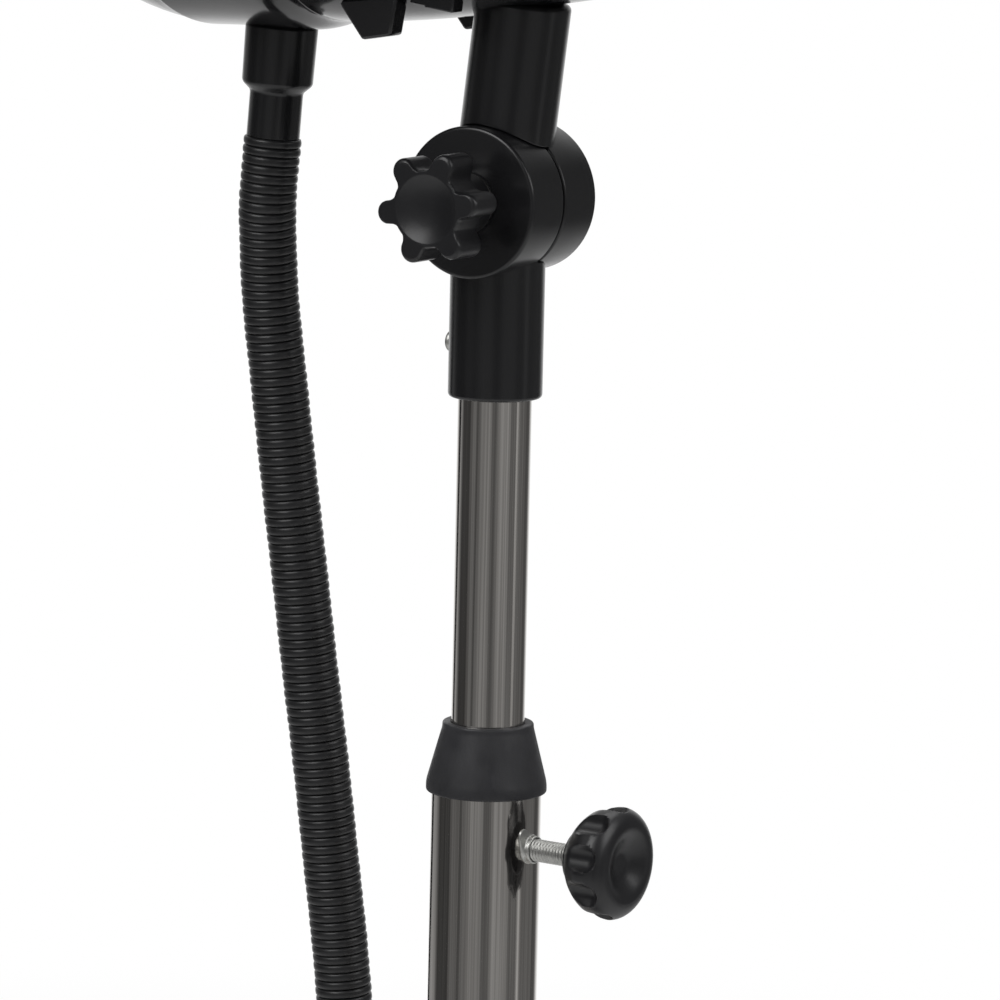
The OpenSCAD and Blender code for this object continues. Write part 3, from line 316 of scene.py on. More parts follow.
def stack(outline, low, high, edge, place):
    """An outline in x and y from one height to another, drawn in by edge (1 - sin t) near both ends."""
    t = np.linspace(0, np.pi / 2, 5)
    inset = np.concatenate([edge * (1 - np.sin(t)), edge * (1 - np.sin(t[::-1]))])
    z = np.concatenate([low + edge * (1 - np.cos(t)), high - edge * (1 - np.cos(t[::-1]))])
    rows = [np.column_stack([drawn_in(outline, i), np.full(len(outline), h)]) for i, h in zip(inset, z)]
    return put(np.array(rows), place), False


print("stacks are ready")

# %% [markdown]
# A finish is a small graph of nodes. Written as calls, each step is one line, and sums and products of
# sockets read as ordinary arithmetic. Colours are mixed with Mix nodes, because a Math node would turn
# them grey. Only colour, roughness and relief vary over a surface. The rest stays a number.

# %% Nodes as expressions
class Value:
    """What comes out of a node. Arithmetic on it adds Math nodes, so that 1 - mask is a node as well."""

    def __init__(self, nodes, socket):
        self.nodes, self.socket = nodes, socket

    def math(self, operation, *inputs):
        return self.nodes.node("ShaderNodeMath", dict(enumerate(inputs)), operation=operation)

    def __add__(self, other):
        return self.math("ADD", self, other)

    def __sub__(self, other):
        return self.math("SUBTRACT", self, other)

    def __rsub__(self, other):
        return self.math("SUBTRACT", other, self)

    def __mul__(self, other):
        return self.math("MULTIPLY", self, other)

    __radd__, __rmul__ = __add__, __mul__


class Nodes:
    """The graph of nodes of a finish, the room or the floor, which starts empty."""

    def __init__(self, owner):
        owner.use_nodes = True
        self.tree = owner.node_tree
        self.tree.nodes.clear()

    def node(self, kind, inputs, out=0, **settings):
        """Adds a node: its settings first, such as an operation, then its inputs."""
        made_node = self.tree.nodes.new(kind)
        for key, value in settings.items():
            setattr(made_node, key, value)
        for key, value in inputs.items():
            if isinstance(value, Value):
                self.tree.links.new(value.socket, made_node.inputs[key])
            else:
                made_node.inputs[key].default_value = value
        return Value(self, made_node.outputs[out])

    def end(self, kind, value):
        """Ends the graph with an output node, which shows a value as its surface."""
        self.tree.links.new(value.socket, self.tree.nodes.new(kind).inputs["Surface"])

    def stretched(self, ways):
        """The object's own coordinates, each multiplied by a number, so that a pattern is drawn out."""
        place = self.node("ShaderNodeTexCoord", {}, "Object")
        ways = ways if isinstance(ways, tuple) else (ways,) * 3
        return self.node("ShaderNodeVectorMath", {0: place, 1: ways}, operation="MULTIPLY")

    def noise(self, ways, detail=3):
        """Cloudy pattern from 0 to 1, with so many waves in a metre, the same each way or told for three."""
        return self.node("ShaderNodeTexNoise", {"Vector": self.stretched(ways), "Scale": 1.0,
                                                "Detail": detail, "Roughness": 0.55})

    def cells(self, ways):
        """Distance to the nearest of scattered points, with so many cells in a metre."""
        return self.node("ShaderNodeTexVoronoi", {"Vector": self.stretched(ways), "Scale": 1.0}, "Distance")

    def limited(self, value, low, high):
        """A value carried from the range low to high onto 0 to 1, with soft ends."""
        return self.node("ShaderNodeMapRange", {"Value": value, "From Min": low, "From Max": high},
                         interpolation_type="SMOOTHSTEP")

    def mixed(self, share, a, b):
        """Colour a where the share is 0 and colour b where it is 1."""
        a, b = (c if isinstance(c, Value) else (*c, 1) for c in (a, b))
        return self.node("ShaderNodeMix", {0: share, 6: a, 7: b}, 2, data_type="RGBA")


print("node helpers are ready")

# %% [markdown]
# All finishes share one recipe: a base colour that drifts a little, a roughness that drifts with
# handling, a fine relief and, on plastic and rubber, sparse dust. Moulded plastic has a fine sand grain,
# powder coat has the skin of an orange, and drawn tube has streaks along its length.

# %% Finishes
def finish(name, base, varied, roughness, relief, depth, metal=0.0, coat=0.0):
    """Builds a material from functions of its graph. Varied mixes two colours, roughness gives a value, and
    relief lifts the surface by up to the depth, in metres."""
    material = bpy.data.materials.new(name)
    n = Nodes(material)
    n.end("ShaderNodeOutputMaterial", n.node("ShaderNodeBsdfPrincipled", {
        "Base Color": n.mixed(varied(n), *base), "Roughness": roughness(n), "Metallic": metal,
        "Coat Weight": coat, "Normal": n.node("ShaderNodeBump", {
            "Strength": 1.0, "Distance": depth, "Height": relief(n)})}))
    return material


def dust(cloud, specks, amount):
    """Slow clouds plus a few specks where a fine cell pattern is near its points."""
    return lambda n: n.noise(cloud) * (1 - amount) + (1 - n.limited(n.cells(specks), 0.05, 0.12)) * amount


def drift(least, spread, ways, detail=3):
    """A roughness that wanders in clouds from its least value upwards."""
    return lambda n: least + spread * n.noise(ways, detail)


def grain(ways, detail=3):
    """Plain clouds, for a relief or for the mix of two colours."""
    return lambda n: n.noise(ways, detail)


def pores(ways):
    """Plain cells, for a relief or for the mix of two colours."""
    return lambda n: n.cells(ways)


gloss_black = finish("gloss_black_plastic", ((0.0075, 0.0075, 0.0085), (0.015, 0.015, 0.016)),
                     dust(30, 700, 0.25), drift(0.17, 0.12, 45, 4), grain(1500, 2), 0.000012)
knob_black = finish("moulded_knob_plastic", ((0.008, 0.008, 0.0095), (0.016, 0.016, 0.0175)),
                    dust(35, 800, 0.3), drift(0.27, 0.13, 70, 4), grain(2200, 2), 0.00002)
shell_black = finish("polished_black_shell", ((0.006, 0.006, 0.007), (0.011, 0.011, 0.012)),
                     dust(14, 500, 0.2), drift(0.1, 0.09, 20, 4), grain(160, 1), 0.00002)
satin_black = finish("satin_black_plastic", ((0.012, 0.012, 0.013), (0.021, 0.021, 0.022)),
                     dust(40, 800, 0.3), drift(0.38, 0.16, 60, 4), grain(2600, 2), 0.00003)
hose_black = finish("ribbed_hose_plastic", ((0.0085, 0.0085, 0.0095), (0.019, 0.019, 0.02)),
                    dust(60, 1100, 0.35), drift(0.27, 0.18, 90, 4), grain(1900, 2), 0.00002)
soft_rubber = finish(
    "soft_rubber", ((0.017, 0.017, 0.0195), (0.03, 0.03, 0.034)),
    lambda n: 0.65 * n.limited(n.noise((55, 55, 40), 4), 0.36, 0.66) + 0.35 * dust(50, 1300, 0.6)(n),
    lambda n: 0.34 + 0.3 * n.limited(n.noise((70, 70, 50), 4), 0.35, 0.65), grain(3200), 0.00005)
tyre_rubber = finish("tyre_rubber", ((0.034, 0.034, 0.036), (0.06, 0.059, 0.057)),
                     dust(90, 1500, 0.5), drift(0.5, 0.25, 120, 4), grain(2400), 0.00006)
drawn_steel = finish(
    "drawn_stainless_tube", ((0.42, 0.4, 0.38), (0.7, 0.675, 0.645)),
    lambda n: n.limited(0.75 * n.noise((1700, 1700, 4), 4) + 0.25 * n.noise((300, 300, 6), 2), 0.33, 0.66),
    lambda n: 0.05 + 0.05 * n.noise((1100, 1100, 4)) + 0.04 * n.noise((40, 40, 20)),
    grain((2300, 2300, 6)), 0.000006, metal=1.0)
bright_zinc = finish("bright_zinc_plate", ((0.4, 0.4, 0.385), (0.6, 0.6, 0.575)),
                     grain(500, 4), drift(0.34, 0.14, 350, 4), grain(1600, 2), 0.00001, metal=1.0)
black_enamel = finish("powder_coat", ((0.011, 0.011, 0.012), (0.019, 0.019, 0.02)),
                      dust(25, 600, 0.3), drift(0.33, 0.14, 30), pores(900), 0.00005)
mill_sheet = finish("rolled_aluminium", ((0.36, 0.37, 0.38), (0.52, 0.53, 0.54)), grain((900, 12, 900), 4),
                    drift(0.3, 0.2, (700, 10, 700)), grain((1600, 14, 1600), 2), 0.00001, metal=1.0)
mica_sheet = finish(
    "mica_board", ((0.42, 0.31, 0.19), (0.68, 0.58, 0.44)),
    lambda n: n.cells((220, 220, 60)) * 0.8 + n.noise(1500) * 0.3,
    lambda n: 0.3 + 0.3 * n.cells((300, 300, 80)), pores((400, 400, 90)), 0.00005, coat=0.3)
oxide_wire = finish("oxidised_heater_wire", ((0.2, 0.12, 0.09), (0.5, 0.38, 0.3)),
                    grain(260, 4), drift(0.35, 0.3, 500), grain(2500), 0.00002, metal=1.0)
white_moulding = finish("white_nylon", ((0.56, 0.54, 0.49), (0.7, 0.685, 0.63)),
                        dust(60, 900, 0.2), drift(0.42, 0.15, 90), grain(1800), 0.00003)
open_foam = finish("open_cell_foam", ((0.03, 0.032, 0.034), (0.17, 0.18, 0.18)),
                   lambda n: n.limited(n.cells(620), 0.1, 0.7), drift(0.8, 0.15, 300), pores(620), 0.0006)
brake_fibre = finish("friction_fibre", ((0.05, 0.034, 0.022), (0.16, 0.11, 0.07)),
                     pores((900, 2600, 900)), drift(0.65, 0.2, 500), grain((2600, 700, 700)), 0.00006)
red_lens = finish("red_moulding", ((0.33, 0.012, 0.008), (0.52, 0.035, 0.02)),
                  dust(150, 1500, 0.2), drift(0.16, 0.14, 200), grain(1400), 0.00001, coat=0.4)
print(len(bpy.data.materials), "finishes")

# %% [markdown]
# The hose wall is a lathe that follows a line. At each step along it two directions are square to the
# line, and the ring lies in them. A rib is a rounded hill, 3.15 mm from groove to groove: its height is
# the square root of 1 - |2f - 1| to the power 2.6, where f runs from 0 to 1 across it. The hose crosses
# three joints, so it is three lengths that meet in a groove. The top length runs down past the column's
# top, because the head tilts by fifty degrees, and a shorter length would kink under it.

# %% Ribbed conduit
pitch, crest, groove, bore, hose_sides = 3.15, 10.15, 9.15, 7.6, 26
rib_number = int(round(conduit_length / pitch))


def line_at(far):
    """Point of the route at each distance from the cuff."""
    return np.stack([np.interp(far, conduit_far, conduit_line[:, k]) for k in range(3)], axis=-1)


def ringed(far, radius):
    """Ring of points round the route at each distance: centre + r (cos a u + sin a v). The direction that u
    and v are square to is taken over five millimetres of the route."""
    back, ahead = (line_at(np.clip(far + reach, 0, conduit_length)) for reach in (-2.5, 2.5))
    way = unit(ahead - back)
    u = unit(np.cross(way, [1.0, 0, 0]))
    v = np.cross(way, u)
    a = np.arange(hose_sides) * 2 * np.pi / hose_sides
    spoke = np.cos(a)[None, :, None] * u[:, None] + np.sin(a)[None, :, None] * v[:, None]
    return line_at(far)[:, None] + radius[:, None, None] * spoke


def hose_length(name, first, last):
    """One length of hose from rib first to rib last: the ribbed outside, then the bore back again. Rib i is
    higher or lower by 0.06 sin(2.4 i) + 0.05 sin(0.9 i + 1) of its height, as if worn."""
    f = np.array([0, 0.09, 0.21, 0.35, 0.5, 0.65, 0.79, 0.91])
    hill = np.sqrt(1 - np.abs(2 * f - 1) ** 2.6)
    ribs = np.arange(first, last)
    step = conduit_length / rib_number
    far = np.append(((ribs[:, None] + f[None, :]) * step).ravel(), last * step)
    worn = 1 + 0.06 * np.sin(ribs * 2.4) + 0.05 * np.sin(ribs * 0.9 + 1)
    radius = np.append((groove + (crest - groove) * hill[None, :] * worn[:, None]).ravel(), groove)
    inside = np.linspace(last * step, first * step, max(12, (last - first) // 2))
    grid = np.vstack([ringed(far, radius), ringed(inside, np.full(len(inside), bore))])
    piece = build(name, [(grid, True)], hose_black, None, ["conduit"], 60)
    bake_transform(piece)
    print(name, "ribs", first, "to", last, len(piece.data.polygons), "faces")


def rib_at(height):
    """Number of the rib where the route first comes down to a height."""
    return int(round(conduit_far[np.argmax(conduit_line[:, 2] < height)] / conduit_length * rib_number))


top_rib, middle_rib = rib_at(680), rib_at(490)
hose_length("conduit_top", 0, top_rib)
hose_length("conduit_middle", top_rib, middle_rib)
hose_length("conduit_lower", middle_rib, rib_number)

# %% [markdown]
# The stand's two tubes are drawn stainless steel. Each is a turned wall with a broken edge at its mouth.
# The lock screw's nut is a small boss welded to the column, so a fillet of weld flows from the tube's
# face up to it.

# %% Column and mast
column_r, column_thick, column_foot, column_top = 19.05, 1.5, 62.0, 698.0
mast_r, mast_thick, mast_foot, mast_long = 12.7, 1.2, 311.7, 560


def tube_wall(radius, thick, low, high):
    """Closed wall of a tube with its four edges eased."""
    profile = [(radius, low), (radius, high), (radius - thick, high), (radius - thick, low)]
    return turned_wall(profile, 0.35, WORLD, 128, 4)


def off_lobe(angle, count, first):
    """Angle from the nearest of so many lobes, the first of which stands at an angle in degrees."""
    step = 2 * np.pi / count
    return (angle - np.radians(first) + step / 2) % step - step / 2


def welded(r, z, angle):
    """Pulls the foot of the weld out on one side, at the bead: radius times 1 + 0.7 e^(-b^2 / 0.25), where b
    is the angle from the bead."""
    off = off_lobe(angle, 1, 125)
    return r * (1 + 0.7 * np.exp(-off**2 / 0.25) * np.clip((r - 4.9) / 0.35, 0, 1))


boss = lathe(soften([(0, 15), (5.3, 17.4), (5.3, 18.75), (5.0, 19.2), (4.85, 19.7), (4.85, 20.8), (4.6, 21.2),
                     (4.15, 21.2), (4.1, 18)], 0.2), LOCK, shape=welded)
build("column_tube", [tube_wall(column_r, column_thick, column_foot, column_top)], drawn_steel,
      "stand", ["outer_column"])
build("weld_boss", [boss], bright_zinc, "stand")
build("mast_steel", [tube_wall(mast_r, mast_thick, mast_foot, mast_foot + mast_long)], drawn_steel,
      "mast", ["mast_tube"])
print("column and mast made")

# %% [markdown]
# The collar is a soft rubber boot that closes the gap between the tubes. It is turned too, and its
# outline wavers by a tenth of a millimetre, because rubber never sits quite round.

# %% Rubber collar
def wavering(r, z, angle):
    """Wavers the outside, which is past 14 mm, by 0.1 sin(3 a + z / 5) mm."""
    return r + 0.1 * np.sin(3 * angle + z * 0.2) * (r > 14)


collar_profile = [(19.25, 694), (20.95, 694), (20.95, 697.2), (15.85, 716.5), (15.85, 718.3), (12.78, 718.3),
                  (12.78, 688), (17.4, 688), (17.4, 698), (19.25, 698)]
collar_edges = [0.5, 1.5, 3.0, 2.0, 1.5, 0.6, 0.3, 0.3, 0.3, 0.3]
build("collar_boot", [turned_wall(collar_profile, collar_edges, WORLD, 120, 6, wavering)], soft_rubber,
      "stand", ["collar"], 50)
print("collar made")

# %% [markdown]
# The knuckle is two glossy moulded halves. Each is a cylinder that holds a tube, joined to half of a
# wide hub, and the two hubs are clamped face to face by the bolt with the star knob. Every half is
# several closed solids in one mesh: the cylinder, a half cylinder that runs up beside the other half's
# hub, and the hub itself.

# %% Lower half of the knuckle
disc_r, seam, disc_face, socket_r, neck_r, clear = 26.0, 0.6, 20.75, 16.25, 16.35, 26.25
socket_rim, socket_bore, bolt_hole, flat, end_band = 831.7, 12.75, 4.1, 0.7, 1.2


def half_round(radius, side):
    """Outline of a circle cut by a flat: angles on one side only, then closed by the flat itself."""
    limit = np.arccos(flat / radius)
    a = np.linspace(-limit, limit, 41)
    return np.column_stack([side * radius * np.cos(a), side * radius * np.sin(a)])


def hub(face_profile, ease=0.7):
    """Half of the clamped hub from its seam to its outer face, with the profile of its face."""
    return soften([(0, seam), (disc_r - 0.5, seam), (disc_r, seam + 0.5), *face_profile],
                  [0, 0.3, 0.3, *[ease] * (len(face_profile) - 1), 0], steps=6)


def saddled(grid, level, side):
    """Moves the end of a cylinder, at a level, by side (R - sqrt(R^2 - y^2)), to fit round the other hub."""
    across = np.minimum(np.abs(grid[..., 1]), clear)
    lift = side * (clear - np.sqrt(clear**2 - across**2)) * (np.abs(grid[..., 2] - level) < end_band)
    return grid + lift[..., None] * np.array([0, 0, 1.0])


socket_end = hinge_z - clear
socket_profile = dense(soften([(socket_bore, socket_rim + 8), (socket_bore, socket_rim),
                               (socket_r, socket_rim), (socket_r, socket_end), (0, socket_end)],
                              [0, 0.6, 1.8, 0.5, 0], steps=7), 3)
socket_wall = saddled(lathe(socket_profile, WORLD, sides=96)[0], socket_end, 1)
build("knuckle_socket", [
    (socket_wall, False),
    stack(half_round(socket_r, -1), hinge_z - clear - 2, hinge_z - 6, 0.5, WORLD),
    lathe(hub([(disc_r, disc_face), (bolt_hole, disc_face)], 1.5), TILT, sides=128)],
    gloss_black, "mast", ["socket_knuckle"])
print("socket half made")

# %% [markdown]
# The upper half turns with the head. Its neck leans with the blower, a gusset stiffens it where it meets
# its hub, and the bolt's head sits in a deep counterbore. The neck runs up into the shell.

# %% Upper half of the knuckle
neck_top, counterbore = 68, 6
neck_profile = dense(soften([(0, clear), (neck_r, clear), (neck_r, neck_top), (neck_r - 3, neck_top + 1)],
                            [0, 0.6, 1.5, 0], steps=6), 3)
neck_wall = put(saddled(lathe(neck_profile, WORLD, sides=96)[0], clear, -1), HEAD)
bolt_side = hub([(disc_r, disc_face), (10.6, disc_face), (9.0, disc_face - 0.8),
                 (9.0, disc_face - counterbore), (bolt_hole, disc_face - counterbore)])
gusset = np.array([[0.6, 2], [19.4, 22.5], [15.9, 34], [0.6, 34]])
build("knuckle_neck", [
    (neck_wall, False),
    stack(half_round(neck_r, 1), 6, clear + 2, 0.5, HEAD),
    stack(soften(gusset, 2.5, closed=True), -7, 7, 1.2, within(HEAD, TO_FRONT)),
    lathe(soften([(0, 60), (13, 60), (13, 76.9), (0, 76.9)], 0.8), HEAD, sides=64),
    lathe(bolt_side, NECK_DISC, sides=128)], gloss_black, "head", ["neck_knuckle"])
print("neck half made")

# %% [markdown]
# Both knobs are moulded round the same idea: the radius depends on the angle. On the star knob it is the
# larger of a core and six round lobes, whose edge lies at C cos a + sqrt(R^2 - C^2 sin^2 a) from the
# axis. The larger is blended in over a small width k, which gives the fillets between lobes. A shallow
# bowl, part of a sphere, is let into the knob's face.

# %% Star knob
def soft_max(a, b, k):
    """The larger of two values, blended over a width k where they are close: a h + b (1-h) + k h (1-h)."""
    h = np.clip(0.5 + 0.5 * (a - b) / k, 0, 1)
    return b * (1 - h) + a * h + k * h * (1 - h)


star_tip, star_core, lobe, lobe_out = 19.7, 13.2, 4.0, 15.7


def star_radius(r, z, angle):
    """Turns the profile's rim into lobes: a core and six round lobes, with the valleys filled in between."""
    a = off_lobe(angle, 6, 38)
    widest = np.arcsin(lobe / lobe_out)
    inside = np.maximum(lobe**2 - (lobe_out * np.sin(a)) ** 2, 0)
    tip = lobe_out * np.cos(a) + np.sqrt(inside) - 30 * np.maximum(np.abs(a) - widest, 0)
    outline = np.minimum(soft_max(tip, star_core + 0 * a, 3.4), star_tip)
    inset = (star_tip - r) * (0.35 + 0.65 * np.clip((outline - star_core) / (star_tip - star_core), 0, 1))
    return np.where(r > bowl_edge, np.maximum(outline - inset, bowl_edge + 0.1 * (r - bowl_edge)), r)


knob_z = disc_face + 1.1
star_face, bowl_r, bowl_edge = knob_z + 25.9, 27.1, 12.0
bowl_rings = np.linspace(11.6, 0, 14)
star_bowl = np.column_stack([bowl_rings, star_face - 2.65 + bowl_r - np.sqrt(bowl_r**2 - bowl_rings**2)])
star_profile = dense(soften([(0, knob_z), (10.5, knob_z), (11.9, knob_z + 11.4), (star_tip, knob_z + 11.5),
                             (star_tip, star_face), (bowl_edge, star_face), *star_bowl],
                            [0, 0.6, 1.0, 1.2, 2.4, 0.3, *[0] * 14], steps=7), 1.1)
star = lathe(star_profile, TILT, sides=192, shape=star_radius)
build("star_knob", [star], knob_black, "tilt_knob", ["tilt_knob"], 48)
print("star knob made")

# %% [markdown]
# The lock knob is a rounded grip with nine scallops cut into the back of its rim. A scallop's edge lies
# where the lobes' formula has a minus sign, and the smaller of it and the rim is taken. The bowl in the
# face rises in a smooth step, and the knob sits on a zinc-plated stud with a rolled thread.

# %% Lock knob and its screw
grip_r, grip_back, grip_deep, scallop, scallop_out, scallop_end = 19.6, 38.15, 21.4, 4.8, 20.5, 19.4
taper, brow_r, bowl_deep, thread_pitch, thread_deep = 4.6, 6.2, 4, 1.25, 0.45


def scalloped(r, z, angle):
    """Cuts the rim where a ray meets a scallop, at C cos a - sqrt(R^2 - (C sin a)^2) from the axis. R falls
    to nothing towards the front, along a quarter of an ellipse, which gives the scallop its round end."""
    a = np.abs(off_lobe(angle, 9, 6.5))
    fade = np.clip((z - grip_back - scallop_end + taper) / taper, 0, 1)
    size = scallop * np.sqrt(np.maximum(1 - fade**2, 1e-6))
    edge = np.arcsin(size / scallop_out)
    hit = scallop_out * np.cos(np.minimum(a, edge))
    hit -= np.sqrt(np.maximum(size**2 - (scallop_out * np.sin(np.minimum(a, edge))) ** 2, 0))
    hit += np.maximum(a - edge, 0) * 60
    return np.where(r > 8, -soft_max(-r, -hit, 1.1), r)


bowl_at = np.linspace(12.8, 0, 15)
bowl_rise = np.clip((bowl_at - 3) / 10.4, 0, 1)
face_z = grip_back + grip_deep
lock_bowl = np.column_stack([bowl_at, face_z - bowl_deep * (1 - bowl_rise**2 * (3 - 2 * bowl_rise))])
brow = np.radians(np.arange(0, 91, 15))
rounded = np.column_stack([grip_r - brow_r + brow_r * np.cos(brow), face_z - brow_r + brow_r * np.sin(brow)])
lock_profile = dense(soften([(0, grip_back), (9.4, grip_back), (9.8, grip_back + 1), (13.8, grip_back + 3.7),
                             (17.1, grip_back + 7.3), (19.2, grip_back + 11.2), *rounded, *lock_bowl],
                            [0, 0.5, 0.8, 2.0, 2.5, 2.5, *[1.0] * 7, *[0] * 15]), 0.8)
build("lock_grip", [lathe(lock_profile, LOCK, sides=192, shape=scalloped)], knob_black, "lock",
      ["lock_knob"], 50)


def thread(r, z, angle):
    """A rolled thread: the radius falls by d (1 + cos p) / 2, where p turns once in each pitch of z."""
    phase = 2 * np.pi * z / thread_pitch - angle
    return np.where((r > 3.6) & (z > 14.5), r - thread_deep / 2 * (1 + np.cos(phase)), r)


screw_profile = dense([(0, 12.85), (3, 12.85), (3.95, 13.85), (3.95, 50), (0, 50)], 0.12)
build("lock_stud", [lathe(screw_profile, LOCK, sides=64, shape=thread)], bright_zinc, "lock",
      ["lock_screw"], 80)
print("lock knob and threaded stud made")

# %% [markdown]
# The blower's body is two polished shells, turned round its own axis, which points back and a little up.
# The front shell widens from the outlet in a straight cone and bends towards the seam. The rear shell
# starts with a soft step, swells to its largest radius, and closes as part of a sphere round the intake.

# %% Body shells
body_r, seam_u, dome_u, outlet_u = 92.0, 66.0, 120.0, 95.0
intake_r, shell_thick, spigot_long = 58.0, 2.5, 17
intake_u = dome_u + np.sqrt(body_r**2 - intake_r**2)


def front_r(u):
    """Radius of the front shell: slope 0.3 up to u = 5, then a parabola whose slope falls to 0.16."""
    t, bend = np.maximum(0, u - 5), seam_u - 5
    at_bend = body_r - 9.6 - (0.3 + 0.16) / 2 * bend
    return at_bend - 0.3 * np.maximum(0, 5 - u) + 0.3 * t - 0.14 * t**2 / (2 * bend)


def rear_r(u):
    """Radius of the rear shell: a soft step at the seam, a slow rise, then sqrt(R^2 - (u - u0)^2)."""
    k = np.clip((seam_u + 12 - u) / 12, 0, 1)
    rise = body_r - 0.11 * (dome_u - u) - 3.8 * k * k * (3 - 2 * k)
    rise += 0.11 * np.maximum(0, 30 - (dome_u - u)) ** 2 / 60 * 0.5
    return np.where(u >= dome_u, np.sqrt(np.maximum(body_r**2 - (u - dome_u) ** 2, 0)), rise)


spigot_r = float(front_r(-outlet_u)) - 0.5
front_u = np.linspace(-outlet_u, seam_u, 46)
cone_out = np.column_stack([front_r(front_u), front_u])
cone_in = np.column_stack([front_r(front_u) - shell_thick, front_u])
spigot_bore, spigot_end = spigot_r - shell_thick, -outlet_u - spigot_long
front_wall = np.vstack([[(spigot_r, spigot_end), (spigot_r, -outlet_u - 0.6)], cone_out, cone_in[::-1],
                        [(spigot_bore, -outlet_u - 0.4), (spigot_bore, spigot_end)]])
build("body_front", [turned_wall(front_wall, 0.4, BLOW, 160, 3)], shell_black, "head",
      ["front_shell"], 24)
rear_u = np.concatenate([np.linspace(seam_u, dome_u, 40), dome_u + (intake_u - dome_u) * np.sin(
    np.linspace(0, np.pi / 2, 30)[1:])])
inner_u = rear_u[rear_u < intake_u - 4]
rear_wall = np.vstack([np.column_stack([rear_r(rear_u), rear_u]), [
    (57, intake_u), (57, intake_u - 14), (59, intake_u - 14), (59, intake_u - 5)],
    np.column_stack([rear_r(inner_u) - shell_thick, inner_u])[::-1]])
build("body_rear", [turned_wall(rear_wall, 0.5, BLOW, 160, 3)], shell_black, "head",
      ["rear_shell"], 24)
print("shells: spigot", round(spigot_r, 2), "mm, intake at", round(float(intake_u), 1), "mm")

# %% [markdown]
# The conduit leaves the body through a stepped cuff: a neck that goes into the shell, a wide sleeve, a
# shoulder, and a narrow sleeve that the ribbed hose is pushed onto. It is turned round its own axis,
# which leans by 4.5 degrees, a little less than the neck.

# %% Conduit cuff
cuff_u = 95.4
cuff_z = axis_h - float(rear_r(np.array(cuff_u))) - 1.4
cuff_place = within(HEAD, turned_x(-np.radians(2.3)), (0, cuff_u, cuff_z))
cuff_profile = [(7.5, -37.4), (9.3, -37.4), (9.3, -22.0), (9.6, -21.1), (11.9, -19.0), (12.4, -18.0),
                (12.7, 1.6), (11.7, 2.2), (11.7, 5.5), (9.5, 5.5), (9.5, 10), (7.5, 10)]
cuff_edges = [0.3, 0.3, 0.6, 0.6, 0.8, 0.8, 0.8, 0.6, 0.5, 0.5, 0.3, 0.3]
build("cuff_sleeve", [turned_wall(cuff_profile, cuff_edges, cuff_place, 96)], gloss_black,
      "head", ["conduit_cuff"])
print("cuff made")

# %% [markdown]
# The nozzle is pushed on the outlet and turns on it. Its closed profile is a straight tip, a cone and a
# sleeve with a lip. Behind it, the guard in the outlet is bent from round wire: rings and three bars.

# %% Nozzle and wire guard
cone_end, sleeve_end = 52, 68.4
nozzle_place = within(BLOW, np.eye(3), (0, 0, spigot_end - cone_end))
tail_r, sleeve_r = spigot_r + 2.6, spigot_r + 0.15
nozzle_profile = [(27, 0), (27, 18), (28.5, 19.5), (tail_r, cone_end), (tail_r, sleeve_end - 1),
                  (tail_r - 1, sleeve_end), (sleeve_r, sleeve_end), (sleeve_r, cone_end - 0.3),
                  (spigot_bore, cone_end - 0.3), (24.8, 18), (24.8, 0)]
nozzle_edges = [0.9, 1.5, 1.5, 5, 0.8, 0.8, 0.4, 0.3, 0.6, 4, 0.8]
build("nozzle_cone", [turned_wall(nozzle_profile, nozzle_edges, nozzle_place, 144, 6)], shell_black,
      "nozzle", ["nozzle"])


def wire_ring(radius, thick, height, place):
    """A ring of round wire: the profile is a circle, r = R + t cos b and z = h + t sin b."""
    b = np.arange(12) * 2 * np.pi / 12
    return lathe(np.column_stack([radius + thick * np.cos(b), height + thick * np.sin(b)]), place, True, 96)


def rod(start, end, thick, place):
    """A round rod between two points, with eased ends: rings square to its line."""
    start, end = np.array(start, float), np.array(end, float)
    way, long = unit(end - start), np.linalg.norm(end - start)
    side = unit(np.cross(way, [0.3, 0.2, 1.0]))
    rows = np.vstack([side, np.cross(way, side), way])
    profile = soften([(0, 0), (thick, 0), (thick, long), (0, long)], 0.25 * thick, steps=4)
    return lathe(profile, within(place, rows, start), sides=14)


guard_place = within(BLOW, np.eye(3), (0, 0, -outlet_u - 4))
seat_r, wire_r, wire_z = spigot_r - 2.55, 0.75, 0.8
bars = [rod((-seat_r * np.cos(a) + 0.4, -seat_r * np.sin(a), wire_z),
            (seat_r * np.cos(a) - 0.4, seat_r * np.sin(a), wire_z), wire_r, guard_place)
        for a in np.radians([0, 60, 120])]
rings = [wire_ring(r, wire_r, wire_z, guard_place) for r in np.arange(9, seat_r - 5, 8)]
band = turned_wall([(seat_r - 1.5, 0), (seat_r, 0), (seat_r, 3), (seat_r - 1.5, 3)], 0.4, guard_place, 96)
build("wire_guard", [*bars, *rings, band], bright_zinc, "head", ["outlet_guard"])
print("nozzle and guard made")

# %% [markdown]
# The intake cover is a moulded grille: a rim, rings with rounded bars, spokes and a domed boss. It twists
# off, and the foam filter lies behind it.

# %% Intake grille
cover_place = within(BLOW, np.eye(3), (0, 0, intake_u - 12))
cover_r = intake_r - 1.3


def bar_ring(radius, width, low, high, edge):
    """A flat ring of the cover with rounded edges."""
    profile = [(radius, low), (radius + width, low), (radius + width, high), (radius, high)]
    return turned_wall(profile, edge, cover_place, 120)


